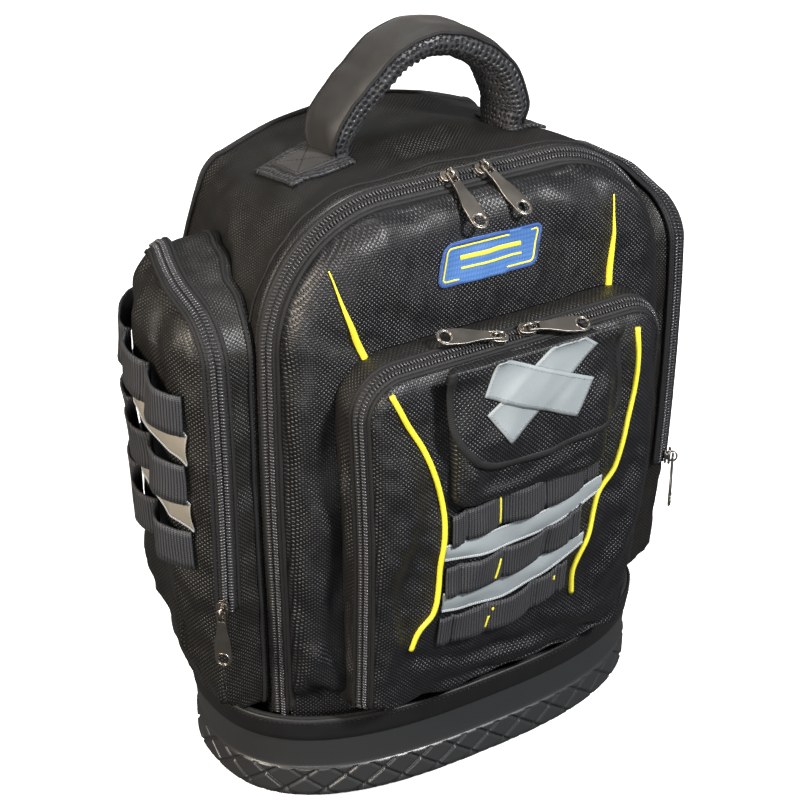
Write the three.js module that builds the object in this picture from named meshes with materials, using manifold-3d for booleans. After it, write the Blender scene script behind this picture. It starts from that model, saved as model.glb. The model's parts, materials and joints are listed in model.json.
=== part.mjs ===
// Tool backpack, millimetres, +Z up, front towards -Y, origin under the middle of the rubber boot.
import * as THREE from "three";
import { mergeVertices } from "three/addons/utils/BufferGeometryUtils.js";
import Module from "manifold-3d";

const wasm = await Module();
wasm.setup();

// Clearance between pieces that rest on one another
const gap = 0.35;

// Rubber boot
const bootHalfWidth = 169;
const bootHalfDepth = 101;
const bootHeight = 72;
const bootPower = 2.6;
const bootRearPower = 2.15;
const bootWall = 3.5;
const bootFloor = 5;
const treadHeight = 28;
const treadRelief = 2.2;
const treadCells = 24;
const bootLip = 2;

// Main compartment
const bodyHalfWidth = 150;
const bodyHeight = 433;
const bodyWall = 3;
const shoulderRound = 85;
const rearCornerRound = 15;
const rearCrown = 19;
const footRound = 16;
const zipForward = 61;
const rearBack = 88;
const zipWidth = 11;
const tapeThickness = 1.3;
const coilHeight = 2;

// Front lid
const lidDepth = 22;
const lidRound = 25;
const lidWall = 2.5;

// Front pocket
const pocketHalfWidth = 115;
const pocketHeight = 345;
const pocketRound = 30;
const pocketForward = 118;
const pocketZipWidth = 10;
const coverDepth = 8;
const coverRound = 18;
const coverBulge = 4;
const pocketWall = 2;

// Flap pocket
const flapPocketHalfWidth = 58;
const flapPocketDrop = 7;
const flapPocketHeight = 92;
const flapPocketTop = pocketHeight - flapPocketDrop;
const flapPocketFoot = flapPocketTop - flapPocketHeight;
const flapPocketDepth = 9;
const flapHalfWidth = 66;
const flapOverlap = 8;
const flapTop = flapPocketTop + flapOverlap;
const flapLength = 72;
const flapThickness = 2.4;
const crossWidth = 24;
const crossLength = 76;
const crossDrop = 23;
const crossHeight = flapTop - crossDrop;
const crossThickness = 1;
const risingTilt = 32;
const fallingTilt = -29;

// Webbing rows and reflective strips on the front pocket
const webbingWidth = 22;
const webbingThickness = 1.6;
const rowPitch = 43.5;
const firstRowDrop = 12;
const firstRowHeight = flapPocketFoot - firstRowDrop;
const loopRise = 4;
const stripWidth = 20;
const stripThickness = 1;

// Piping
const pipingRadius = 1.6;

// Label patch
const labelLength = 72;
const labelWidth = 26;
const labelDrop = 45;
const labelHeight = bodyHeight - labelDrop;
const labelThickness = 1.6;

// Side pockets
const sideFrontInset = 7;
const sideRear = 58;
const sideDrop = 55;
const sideTop = bodyHeight - sideDrop;
const sideTopSlope = 0.12;
const sideFrontRound = 34;
const sideRearRound = 14;
const sideHalfWidth = 180;
const sideBulge = 19;
const sideWall = 2;
const sideZipEnd = 164;
const sideWebbingWidth = 28;
const sideStripWidth = 19;
const sideRowPitch = 49;
const sideFirstRowDrop = 54;
const sideFirstRow = sideTop - sideFirstRowDrop;
const sideFrontCut = 14;
const sideRowSlope = 0.34;
const sideLoopRise = 11;
const fullness = { left: 1, right: 0.55 };

// Handle
const handleWidth = 44;
const handleThickness = 20;
const handleRise = 60;
const handleHalfSpan = 62;
const handleShift = 13;
const handleSkew = 6;
const handleBack = 16;
const footLength = 50;
const footThickness = 2.5;

// Zip sliders and pull tabs
const sliderLength = 13;
const sliderWidth = 9;
const sliderHeight = 4.2;
const bailInner = 2.3;
const bailWire = 1.4;
const axisLift = 1.7;
const tabLength = 42;
const tabWidth = 11.5;
const tabThickness = 1.6;
const tabHole = 3.4;
const slotHalfWidth = 1.9;

// Back panel and shoulder straps
const padThickness = 10;
const padHalfWidth = 84;
const padTop = 372;
const padFoot = 104;
const strapWidth = 58;
const strapThickness = 9;
const strapSpacing = 50;
const strapTop = 396;
const strapFoot = 190;
const strapBow = 30;
const tailWidth = 25;
const tailFoot = 92;
const buckleWidth = 32;
const buckleHeight = 30;
const buckleThickness = 5;

// Rows are heights as shares of bodyHeight, with widths and depths as shares of the sizes they follow
const zipPlane = [
  { height: 0, forward: 0.9 },
  { height: 0.17, forward: 0.93 },
  { height: 0.42, forward: 1.06 },
  { height: 0.7, forward: 1.09 },
  { height: 1, forward: 1 },
];
const rearPlane = [
  { height: 0, back: 1.16, width: 1 },
  { height: 0.2, back: 1.15, width: 1 },
  { height: 0.5, back: 1.06, width: 0.95 },
  { height: 0.75, back: 1, width: 0.88 },
  { height: 0.88, back: 0.99, width: 0.77 },
  { height: 1, back: 0.97, width: 0.655 },
];
const bodySide = [
  { height: 0, width: 0.955 },
  { height: 0.17, width: 0.96 },
  { height: 0.5, width: 1 },
  { height: 0.72, width: 1 },
  { height: 1, width: 0.97 },
];

// Rows of the lid's rounded edge: how far in as shares of lidRound, how far forward as shares of lidDepth
const lidRows = [
  { inset: 0, forward: 0 },
  { inset: 0.06, forward: 0.38 },
  { inset: 0.36, forward: 0.8 },
  { inset: 1, forward: 1 },
  { inset: 2.6, forward: 1.08 },
];

// Pocket zip plane by height as a share of pocketHeight
const pocketPlane = [
  { height: 0.2, forward: 0.86 },
  { height: 0.42, forward: 0.93 },
  { height: 0.66, forward: 0.99 },
  { height: 1, forward: 1 },
];
const coverRows = [
  { inset: 0, forward: 0 },
  { inset: 0.08, forward: 0.4 },
  { inset: 0.4, forward: 0.8 },
  { inset: 1, forward: 1 },
  { inset: 2.4, forward: 1.13 },
  { inset: 4.2, forward: 1.18 },
];

// Flap outline by the share of flapLength hung down, and of flapHalfWidth across
const flapRows = [
  { down: 0, half: 0.97 },
  { down: 0.14, half: 1 },
  { down: 0.36, half: 1 },
  { down: 0.58, half: 1 },
  { down: 0.76, half: 0.97 },
  { down: 0.9, half: 0.84 },
  { down: 1, half: 0.66 },
];

// Piping, heights as shares of pocketHeight, or of the way from it to bodyHeight for the upper two, and
// places across as shares of half widths
const lowerPiping = [
  { height: 0.966, left: -0.84, right: 0.748 },
  { height: 0.91, left: -0.765, right: 0.748 },
  { height: 0.85, left: -0.67, right: 0.735 },
  { height: 0.786, left: -0.6, right: 0.69 },
  { height: 0.722, left: -0.56, right: 0.64 },
  { height: 0.66, left: -0.55, right: 0.585 },
  { height: 0.6, left: -0.556, right: 0.51 },
  { height: 0.53, left: -0.562, right: 0.455 },
  { height: 0.475, left: -0.6, right: 0.41 },
  { height: 0.4, left: -0.69, right: 0.395 },
];
const upperPiping = [
  { height: 0.695, left: -0.76, right: 0.635 },
  { height: 0.508, left: -0.735, right: 0.625 },
  { height: 0.311, left: -0.7, right: 0.612 },
  { height: 0.095, left: -0.65, right: 0.602 },
];

// Side pocket: how far in from its edge as shares of half its depth, how far out between the body and
// sideHalfWidth, and how much of sideBulge is added
const sideRows = [
  { inset: 0, out: 0, bulge: 0 },
  { inset: 0, out: 0.72, bulge: 0 },
  { inset: 0.005, out: 0.93, bulge: 0 },
  { inset: 0.06, out: 1, bulge: 0.1 },
  { inset: 0.22, out: 1, bulge: 0.5 },
  { inset: 0.52, out: 1, bulge: 0.95 },
];

// Creases drawn into the soft cloth: centre, length and width as shares, depth in shares of the wall
const lidCreases = [
  { x: -0.86, z: 0.3, tilt: 80, length: 0.11, width: 0.018, depth: 1.1 },
  { x: -0.8, z: 0.24, tilt: 62, length: 0.07, width: 0.015, depth: 0.9 },
  { x: -0.9, z: 0.42, tilt: 96, length: 0.12, width: 0.016, depth: 0.7 },
  { x: 0.9, z: 0.3, tilt: 100, length: 0.1, width: 0.018, depth: 0.9 },
];
const coverCreases = [
  { x: -0.5, z: 0.22, tilt: 12, length: 0.09, width: 0.014, depth: 1.2 },
  { x: 0.15, z: 0.215, tilt: -8, length: 0.1, width: 0.014, depth: 1.1 },
  { x: -0.75, z: 0.36, tilt: 76, length: 0.1, width: 0.018, depth: 1 },
  { x: 0.62, z: 0.25, tilt: -20, length: 0.07, width: 0.014, depth: 0.9 },
];

// Front rows and strips, ends as shares of pocketHalfWidth
const rowEnds = [
  { left: -0.49, right: 0.52 },
  { left: -0.49, right: 0.4 },
  { left: -0.5, right: 0.33 },
];
const stripEnds = [
  { left: -0.51, right: 0.45 },
  { left: -0.52, right: 0.37 },
];

// The handle's middle line: across as shares of handleHalfSpan, up as shares of handleRise
const handleLine = [
  { across: -1, up: 0 },
  { across: -0.95, up: 0.14 },
  { across: -0.78, up: 0.42 },
  { across: -0.44, up: 0.78 },
  { across: -0.02, up: 1 },
  { across: 0.42, up: 1 },
  { across: 0.8, up: 0.76 },
  { across: 0.98, up: 0.42 },
  { across: 1.03, up: 0.14 },
  { across: 1, up: 0 },
];

// Shoulder straps by height between strapFoot and strapTop, with the bow away from the back
const strapLine = [
  { height: 1, bow: 0, spread: 0 },
  { height: 0.93, bow: 0.3, spread: 0.04 },
  { height: 0.78, bow: 0.8, spread: 0.15 },
  { height: 0.55, bow: 1, spread: 0.4 },
  { height: 0.28, bow: 0.95, spread: 0.75 },
  { height: 0, bow: 0.8, spread: 1 },
];

// Sliders: place along the zip, and turn of the tab on the cloth
const pulls = [
  { name: "main_left", place: -14, turn: 3 },
  { name: "main_right", place: 11, turn: 16 },
  { name: "pocket_left", place: -14, turn: -14 },
  { name: "pocket_right", place: 8, turn: -14 },
  { name: "side_left", place: 0, turn: 0 },
  { name: "side_right", place: 0, turn: 0 },
];

const root = new THREE.Group();
const cloth = new THREE.MeshStandardMaterial({ color: 0x17181a, roughness: 0.9 });
const lining = new THREE.MeshStandardMaterial({ color: 0x202124, roughness: 0.85 });
const rubber = new THREE.MeshStandardMaterial({ color: 0x2c2d2e, roughness: 0.6 });
const coil = new THREE.MeshStandardMaterial({ color: 0x0e0e10, roughness: 0.5 });
const yellow = new THREE.MeshStandardMaterial({ color: 0xf0e23c, roughness: 0.6 });
const silver = new THREE.MeshStandardMaterial({ color: 0xb0b7bb, roughness: 0.5 });
const blue = new THREE.MeshStandardMaterial({ color: 0x2a4d9c, roughness: 0.8 });
const nickel = new THREE.MeshStandardMaterial({ color: 0x8d8a86, metalness: 1, roughness: 0.35 });

function point(x, y, z) {
  return new THREE.Vector3(x, y, z);
}

function mix(a, b, t) {
  return a + (b - a) * t;
}

function smooth(from, to, value) {
  return THREE.MathUtils.smoothstep(value, from, to);
}

function span(from, to, steps) {
  return Array.from({ length: steps + 1 }, (_, i) => mix(from, to, i / steps));
}

// A column of a table at a place between its rows, on a curve through them
function read(table, key, value, column) {
  const last = table.length - 1;
  const rising = table[last][key] > table[0][key] ? 1 : -1;
  let i = 0;
  while (i < last - 1 && (value - table[i + 1][key]) * rising > 0) i++;
  const span = table[i + 1][key] - table[i][key];
  const t = THREE.MathUtils.clamp((value - table[i][key]) / span, 0, 1);
  const slope = (k) => {
    const a = table[Math.max(k - 1, 0)];
    const b = table[Math.min(k + 1, last)];
    return ((b[column] - a[column]) / (b[key] - a[key])) * span;
  };
  const t2 = t * t;
  const t3 = t2 * t;
  return (
    (2 * t3 - 3 * t2 + 1) * table[i][column] +
    (t3 - 2 * t2 + t) * slope(i) +
    (3 * t2 - 2 * t3) * table[i + 1][column] +
    (t3 - t2) * slope(i + 1)
  );
}

// Shape helpers

function fromTriangles(triangles) {
  const positions = [];
  for (const [a, b, c] of triangles) {
    const flat = a.distanceTo(b) < 1e-4 || b.distanceTo(c) < 1e-4 || c.distanceTo(a) < 1e-4;
    if (!flat) positions.push(...a.toArray(), ...b.toArray(), ...c.toArray());
  }
  const geometry = new THREE.BufferGeometry();
  geometry.setAttribute("position", new THREE.Float32BufferAttribute(positions, 3));
  const merged = mergeVertices(geometry, 1e-4);
  merged.computeVertexNormals();
  return merged;
}

function signedVolume(triangles) {
  const part = ([a, b, c]) => a.dot(b.clone().cross(c)) / 6;
  return triangles.reduce((sum, t) => sum + part(t), 0);
}

function normalsOf(grid, ring) {
  const rows = grid.length;
  const normals = grid.map((row, i) =>
    row.map((p, j) => {
      const n = row.length;
      const before = row[ring ? (j + n - 1) % n : Math.max(j - 1, 0)];
      const after = row[ring ? (j + 1) % n : Math.min(j + 1, n - 1)];
      const above = grid[Math.max(i - 1, 0)][j];
      const below = grid[Math.min(i + 1, rows - 1)][j];
      return below.clone().sub(above).cross(after.clone().sub(before)).normalize();
    }),
  );
  [0, rows - 1].forEach((i) => {
    if (grid[i][0].distanceTo(grid[i][1]) > 1e-3) return;
    const sum = point(0, 0, 0);
    normals[i === 0 ? 1 : rows - 2].forEach((n) => sum.add(n));
    sum.normalize();
    normals[i] = normals[i].map(() => sum.clone());
  });
  return normals;
}

// Keeps the rims of a cup or band in the plane across its mouth
function flattenRims(grid, normals, mouth) {
  [0, grid.length - 1].forEach((i) => {
    if (grid[i][0].distanceTo(grid[i][1]) < 1e-3) return;
    normals[i].forEach((n) => n.addScaledVector(mouth, -n.dot(mouth)).normalize());
  });
}

// Cuts a four-sided cell along its shorter diagonal
function split(a, b, c, d) {
  if (a.distanceToSquared(c) <= b.distanceToSquared(d) + 1e-3) return [[a, b, c], [a, c, d]];
  return [[a, b, d], [b, c, d]];
}

// A wall that stands on a grid of points and is thick towards the side that outward points to
function wall(grid, thickness, outward, ring = false, mouth = null) {
  const normals = normalsOf(grid, ring);
  if (mouth) flattenRims(grid, normals, mouth);
  const lean = grid.flat().reduce((sum, p, k) => sum + outward(p).dot(normals.flat()[k]), 0);
  const side = lean > 0 ? 1 : -1;
  const shifted = grid.map((row, i) =>
    row.map((p, j) => p.clone().addScaledVector(normals[i][j], side * thickness)),
  );
  const triangles = [];
  const quad = (a, b, c, d) => triangles.push(...split(a, b, c, d));
  const rows = grid.length;
  const n = grid[0].length;
  const steps = ring ? n : n - 1;
  for (let j = 0; j < steps; j++) {
    const k = (j + 1) % n;
    for (let i = 0; i < rows - 1; i++) {
      quad(grid[i][j], grid[i][k], grid[i + 1][k], grid[i + 1][j]);
      quad(shifted[i][j], shifted[i + 1][j], shifted[i + 1][k], shifted[i][k]);
    }
    [0, rows - 1].forEach((i) => {
      const pole = grid[i][0].distanceTo(grid[i][1]) < 1e-3;
      if (pole) return;
      if (i === 0) quad(grid[i][k], grid[i][j], shifted[i][j], shifted[i][k]);
      else quad(grid[i][j], grid[i][k], shifted[i][k], shifted[i][j]);
    });
  }
  if (!ring) {
    for (let i = 0; i < rows - 1; i++) {
      quad(grid[i][0], grid[i + 1][0], shifted[i + 1][0], shifted[i][0]);
      quad(grid[i + 1][n - 1], grid[i][n - 1], shifted[i][n - 1], shifted[i + 1][n - 1]);
    }
  }
  const turned = signedVolume(triangles) < 0 ? triangles.map(([a, b, c]) => [a, c, b]) : triangles;
  return fromTriangles(turned);
}

// A cup or band whose outer face is the grid: the wall grows inwards, away from the outward side
function cup(grid, thickness, outward, mouth) {
  return wall(grid, thickness, (p) => outward(p).negate(), true, mouth);
}

const awayFrom = (centre) => (p) => p.clone().sub(centre);
const forwards = () => point(0, -1, 0);
const depthways = point(0, 1, 0);
const sideways = point(1, 0, 0);

// A closed outline in x and z from a half width, two corner rounds, a foot and a top
function arch(shape) {
  const { half, halfFoot, foot, top, round, footRound: low, crown = 0 } = shape;
  const { waist = foot + low * 2, knee = null } = shape;
  const right = [];
  const footSteps = 2;
  const lowSteps = 2;
  const sideSteps = 5;
  const roundSteps = 4;
  const topSteps = 3;
  for (let i = 0; i < footSteps; i++) right.push([((halfFoot - low) * i) / footSteps, foot]);
  for (let i = 0; i <= lowSteps; i++) {
    const a = ((i / lowSteps - 1) * Math.PI) / 2;
    right.push([halfFoot - low + low * Math.cos(a), foot + low + low * Math.sin(a)]);
  }
  const levels = span(waist, top - round, knee === null ? sideSteps : sideSteps - 1).slice(0, -1);
  for (const z of knee === null ? levels : [knee, ...levels]) {
    right.push([mix(halfFoot, half, (z - foot - low) / (top - round - foot - low)), z]);
  }
  for (let i = 0; i <= roundSteps; i++) {
    const a = ((i / roundSteps) * Math.PI) / 2;
    right.push([half - round + round * Math.cos(a), top - round + round * Math.sin(a)]);
  }
  for (let i = 1; i <= topSteps; i++) {
    const x = (half - round) * (1 - i / topSteps);
    right.push([x, top + crown * (1 - (x / (half - round)) ** 2)]);
  }
  const left = right.slice(1, -1).reverse();
  return [...right, ...left.map(([x, z]) => [-x, z])];
}

// Keeps cloth inside the boot near its foot, and lets it swell above
function tuck(p, inset, seam, swell) {
  const rounding = 9 * (1 - smooth(0, 18, p.z - bootFloor));
  const a = bootHalfWidth - inset - rounding;
  const b = bootHalfDepth - inset - rounding;
  const power = p.y > 0 ? bootRearPower : bootPower;
  const reach = ((Math.abs(p.x) / a) ** power + (Math.abs(p.y) / b) ** power) ** (1 / power);
  const limit = 1 + swell * smooth(0, 1, (p.z - seam) / bootHeight);
  if (reach <= limit) return p;
  return point((p.x * limit) / reach, (p.y * limit) / reach, p.z);
}

function crease(rows, x, z) {
  let depth = 0;
  for (const row of rows) {
    const a = THREE.MathUtils.degToRad(row.tilt);
    const dx = x - row.x * bodyHalfWidth;
    const dz = z - row.z * bodyHeight;
    const along = (dx * Math.cos(a) + dz * Math.sin(a)) / (row.length * bodyHeight);
    const across = (dz * Math.cos(a) - dx * Math.sin(a)) / (row.width * bodyHeight);
    depth += row.depth * Math.exp(-along * along - across * across);
  }
  return depth;
}

const zipY = (z) => -zipForward * read(zipPlane, "height", z / bodyHeight, "forward");
const rearY = (z) => rearBack * read(rearPlane, "height", z / bodyHeight, "back");
const pocketY = (z) => -pocketForward * read(pocketPlane, "height", z / pocketHeight, "forward");

// Pieces

const solids = new Map();
function add(name, geometry, material) {
  const mesh = new THREE.Mesh(geometry, material);
  mesh.name = name;
  root.add(mesh);
  mesh.updateMatrixWorld(true);
  solids.set(name, mesh);
  return mesh;
}

// The outermost point of some hosts seen from one side, or the nearest one to it
const rayStart = bodyHeight * 2;
const sides = {
  front: { from: (u, v) => point(u, -rayStart, v), to: point(0, 1, 0) },
  left: { from: (u, v) => point(-rayStart, u, v), to: point(1, 0, 0) },
  right: { from: (u, v) => point(rayStart, u, v), to: point(-1, 0, 0) },
  top: { from: (u, v) => point(u, v, rayStart), to: point(0, 0, -1) },
  back: { from: (u, v) => point(u, rayStart, v), to: point(0, -1, 0) },
};
const ray = new THREE.Raycaster();
function touch(hosts, side, u, v) {
  const { from, to } = sides[side];
  ray.set(from(u, v), to);
  const hits = ray.intersectObjects(hosts, false);
  return hits.length ? hits[0].point : null;
}

// Lays a grid of places on its hosts, clear of their facets
function drape(places, hosts, side, clearance, near = 3) {
  const { to } = sides[side];
  const found = places.map((row) =>
    row.map(([u, v]) => {
      let best = null;
      for (const du of [-near, 0, near]) {
        for (const dv of [-near, 0, near]) {
          const hit = touch(hosts, side, u + du, v + dv);
          if (hit && (best === null || hit.dot(to) < best)) best = hit.dot(to);
        }
      }
      return best;
    }),
  );
  const known = found.flat().filter((d) => d !== null);
  const spare = known.reduce((a, b) => a + b, 0) / known.length;
  return places.map((row, i) =>
    row.map(([u, v], j) => {
      const depth = (found[i][j] === null ? spare : found[i][j]) - clearance;
      const p = sides[side].from(u, v);
      return p.addScaledVector(to, depth - p.dot(to));
    }),
  );
}

function tube(path, radius, sidesRound, steps) {
  const curve = new THREE.CatmullRomCurve3(path);
  const shape = new THREE.Shape();
  shape.absarc(0, 0, radius, 0, Math.PI * 2, false);
  const settings = { steps, extrudePath: curve, curveSegments: sidesRound, bevelEnabled: false };
  return new THREE.ExtrudeGeometry(shape, settings);
}

// Rubber boot: a tray with a rounded foot, a diamond tread and a plain band with a lip

function bootPoint(angle, inset, z) {
  const c = Math.cos(angle);
  const s = Math.sin(angle);
  const a = bootHalfWidth - inset;
  const b = bootHalfDepth - inset;
  const power = s > 0 ? bootRearPower : bootPower;
  const r = (Math.abs(c / a) ** power + Math.abs(s / b) ** power) ** (-1 / power);
  return point(r * c, r * s, z);
}

function boot() {
  const columns = treadCells * 2;
  const loop = (inset, z, relief = 0, phase = 0) =>
    Array.from({ length: columns }, (_, j) => {
      const raised = (j + phase) % 2 === 0 ? relief : 0;
      return bootPoint((j / columns) * Math.PI * 2, inset - raised, z);
    });
  const inner = bootWall + treadRelief;
  const rows = [
    loop(bootHalfDepth, 0),
    loop(inner + 9, 0),
    loop(treadRelief + 4, treadHeight * 0.12),
    loop(treadRelief, treadHeight * 0.3, treadRelief, 0),
    loop(treadRelief, treadHeight * 0.62, treadRelief, 1),
    loop(treadRelief, treadHeight * 0.92, treadRelief, 0),
    loop(treadRelief, treadHeight, 0),
    loop(0, mix(treadHeight, bootHeight, 0.25)),
    loop(-bootLip, bootHeight - 5),
    loop(-bootLip, bootHeight - 1),
    loop(bootWall * 0.5, bootHeight),
    loop(bootWall, bootHeight - 1),
    loop(inner, treadHeight),
    loop(inner + 2, bootFloor + 5),
    loop(inner + 10, bootFloor),
    loop(bootHalfDepth, bootFloor),
  ];
  rows[0] = rows[0].map(() => point(0, 0, 0));
  rows[rows.length - 1] = rows[0].map(() => point(0, 0, bootFloor));
  const triangles = [];
  for (let i = 0; i < rows.length - 1; i++) {
    for (let j = 0; j < columns; j++) {
      const k = (j + 1) % columns;
      const [a, b, c, d] = [rows[i][j], rows[i][k], rows[i + 1][k], rows[i + 1][j]];
      if ((i + j) % 2 === 0) triangles.push([a, b, c], [a, c, d]);
      else triangles.push([a, b, d], [b, c, d]);
    }
  }
  const turned = signedVolume(triangles) < 0 ? triangles.map(([a, b, c]) => [a, c, b]) : triangles;
  return fromTriangles(turned);
}

add("base_tray", boot(), rubber);

// Main compartment

const innerInset = bootWall + treadRelief + 1.5;
const bodySeam = bootHeight + 12;

function bodyOutline(t, inset) {
  return arch({
    half: bodyHalfWidth - inset,
    halfFoot: bodyHalfWidth - inset,
    foot: bootFloor + gap * 2,
    top: bodyHeight - inset - rearCrown * t,
    round: mix(shoulderRound, rearCornerRound, t) - inset * 0.5,
    footRound,
    crown: rearCrown * t,
    waist: bootHeight + 2,
  });
}

// A ring of the body between the zip and the rear edge: round beside the boot, straight at the shoulders
function bodyRing(t, inset, back) {
  const ringAt = (s) =>
    bodyOutline(s, inset).map(([x, z]) => {
      const share = z / bodyHeight;
      const narrow = mix(read(bodySide, "height", share, "width"), read(rearPlane, "height", share, "width"), s);
      return point(x * narrow, mix(zipY(z) + back, rearY(z), s), z);
    });
  const [curved, front, rear] = [t, 0, 1].map(ringAt);
  return curved.map((p, j) => {
    const straight = front[j].clone().lerp(rear[j], t);
    const weight = smooth(0.5, 0.8, p.z / bodyHeight);
    return tuck(p.lerp(straight, weight), innerInset, bodySeam, 0.8);
  });
}

function rearShell() {
  const rows = [0, 0.25, 0.5, 0.76, 1].map((t) => bodyRing(t, 0, zipWidth / 2 + gap));
  const rim = rows[rows.length - 1];
  const centre = point(0, rearY(bodyHeight / 2) + 5, bodyHeight / 2);
  [0.94, 0.7, 0.35].forEach((scale) => {
    rows.push(
      rim.map((p) => {
        const q = p.clone().sub(centre).multiplyScalar(scale).add(centre);
        q.y = Math.max(q.y, rearY(q.z) + 4 * (1 - scale));
        return tuck(q, innerInset, bodySeam, 0.8);
      }),
    );
  });
  rows.push(rim.map(() => centre.clone()));
  return rows.reverse();
}

const middle = point(0, 0, bodyHeight / 2);
add("rear_shell", cup(rearShell(), bodyWall, awayFrom(middle), depthways), cloth);

// The main zip: two tapes with a coil ridge, in a ring round the mouth
const zipRows = [
  { along: -1, lift: 0 },
  { along: 0, lift: 1 },
  { along: 1, lift: 0 },
];
const zipCone = 8;
const pocketZipCone = 6;

function mainZipRing() {
  return zipRows.map(({ along, lift }) =>
    bodyRing(0, (zipCone * (1 - along)) / 2 - lift * coilHeight, (along * zipWidth) / 2),
  );
}
add("main_zip", cup(mainZipRing(), tapeThickness, awayFrom(middle), depthways), coil);

// Front lid: a shallow cup in front of the zip

function lidRing({ inset, forward }) {
  const edge = zipCone + inset * lidRound;
  const outline = arch({
    half: bodyHalfWidth - edge,
    halfFoot: bodyHalfWidth - edge,
    foot: bootFloor + gap * 2 + inset * lidRound * 0.3,
    top: bodyHeight - edge,
    round: Math.max(shoulderRound - edge, 12),
    footRound,
    waist: bootHeight + 2,
  });
  return outline.map(([x, z]) => {
    const narrow = read(bodySide, "height", z / bodyHeight, "width");
    const dent = lidWall * crease(lidCreases, x, z) * smooth(0.2, 1, forward);
    const y = zipY(z) - zipWidth / 2 - gap - lidDepth * forward + dent;
    return tuck(point(x * narrow, y, z), innerInset, bodySeam, 0.8);
  });
}

function lidGrid() {
  const rows = lidRows.map(lidRing);
  const z = bodyHeight * 0.5;
  const tip = point(0, zipY(z) - zipWidth / 2 - gap - lidDepth * 1.09, z);
  rows.push(rows[0].map(() => tip.clone()));
  return rows;
}
const lidCentre = point(0, -zipForward * 0.5, bodyHeight / 2);
const lid = add("front_lid", cup(lidGrid(), lidWall, awayFrom(lidCentre), depthways), cloth);

// Front pocket: gusset, zip and cover

function pocketOutline(inset) {
  return arch({
    half: pocketHalfWidth - inset,
    halfFoot: pocketHalfWidth * 0.93 - inset,
    foot: bootHeight + gap * 2 + Math.max(inset, 0),
    top: pocketHeight - inset,
    round: Math.max(pocketRound - inset, 6),
    footRound: 5,
  });
}

const rimFold = 0.5;

// Each layer of the pocket stands a little further in over the rim of the boot than the one in front of it
function pocketRing(inset, y, layer) {
  const over = layer * rimFold - bootLip;
  return pocketOutline(inset).map(([x, z]) => tuck(point(x, y(x, z), z), over, bootHeight, 1.2));
}

function gussetGrid() {
  const back = drape([pocketOutline(0)], [lid], "front", gap * 3, 7)[0];
  const layer = coverDepth + pocketZipWidth + gap * 2;
  const front = pocketRing(0, (x, z) => pocketY(z) + pocketZipWidth / 2 + gap * 2, layer);
  const between = back.map((p, j) => p.clone().lerp(front[j], 0.5));
  return [back, between, front];
}
const pocketCentre = point(0, -pocketForward * 0.8, pocketHeight * 0.6);
add("front_pocket", cup(gussetGrid(), pocketWall, awayFrom(pocketCentre), depthways), cloth);

function pocketZipGrid() {
  return zipRows.map(({ along, lift }) => {
    const inset = (pocketZipCone * (1 + along)) / 2 - lift * coilHeight;
    const layer = coverDepth + gap + (pocketZipWidth * (1 - along)) / 2;
    return pocketRing(inset, (x, z) => pocketY(z) - (along * pocketZipWidth) / 2, layer);
  });
}
add("front_pocket_zip", cup(pocketZipGrid(), tapeThickness, awayFrom(pocketCentre), depthways), coil);

function coverGrid() {
  const face = (forward) => (x, z) => {
    const share = (z - bootHeight) / (pocketHeight - bootHeight);
    const swell = coverBulge * forward * Math.sin(Math.PI * THREE.MathUtils.clamp(share, 0, 1)) ** 1.5;
    const dent = pocketWall * crease(coverCreases, x, z) * smooth(0.3, 1, forward);
    return pocketY(z) - pocketZipWidth / 2 - gap - coverDepth * forward - swell + dent;
  };
  const rows = coverRows.map(({ inset, forward }) => {
    const layer = coverDepth * Math.max(1 - forward, 0);
    return pocketRing(pocketZipCone + inset * coverRound, face(forward), layer);
  });
  const z = mix(bootHeight, pocketHeight, 0.5);
  const tip = point(0, face(1.19)(0, z), z);
  rows.push(rows[0].map(() => tip.clone()));
  return rows;
}
const cover = add("front_pocket_cover", cup(coverGrid(), pocketWall, awayFrom(pocketCentre), depthways), cloth);

// Flap pocket with its flap and crossed strips

function flapPocketGrid() {
  const rows = [0, 0.35, 1].map((t) => {
    const inset = flapPocketDepth * 0.8 * t * t;
    const outline = arch({
      half: flapPocketHalfWidth - inset,
      halfFoot: flapPocketHalfWidth - inset,
      foot: flapPocketFoot + inset,
      top: flapPocketTop - inset,
      round: 8,
      footRound: 8,
    });
    const rise = flapPocketDepth * Math.sin((t * Math.PI) / 2);
    return drape([outline], [cover], "front", gap + rise, 2)[0];
  });
  const z = mix(flapPocketFoot, flapPocketTop, 0.5);
  const tip = drape([[[0, z]]], [cover], "front", gap + flapPocketDepth * 1.25, 2)[0][0];
  rows.push(rows[0].map(() => tip.clone()));
  return rows;
}
const flapPocketCentre = point(0, -pocketForward, mix(flapPocketFoot, flapPocketTop, 0.5));
const flapPocket = add("flap_pocket", cup(flapPocketGrid(), pocketWall, awayFrom(flapPocketCentre), depthways), cloth);

function flapGrid() {
  const across = [-1, -0.9, -0.6, -0.3, 0, 0.3, 0.6, 0.9, 1];
  const places = flapRows.map(({ down, half }) =>
    across.map((s) => [s * half * flapHalfWidth, flapTop - down * flapLength - 6 * (1 - s * s) * down]),
  );
  return drape(places, [cover, flapPocket], "front", gap * 3, 5);
}
const flap = add("pocket_flap", wall(flapGrid(), flapThickness, forwards), lining);

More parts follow.
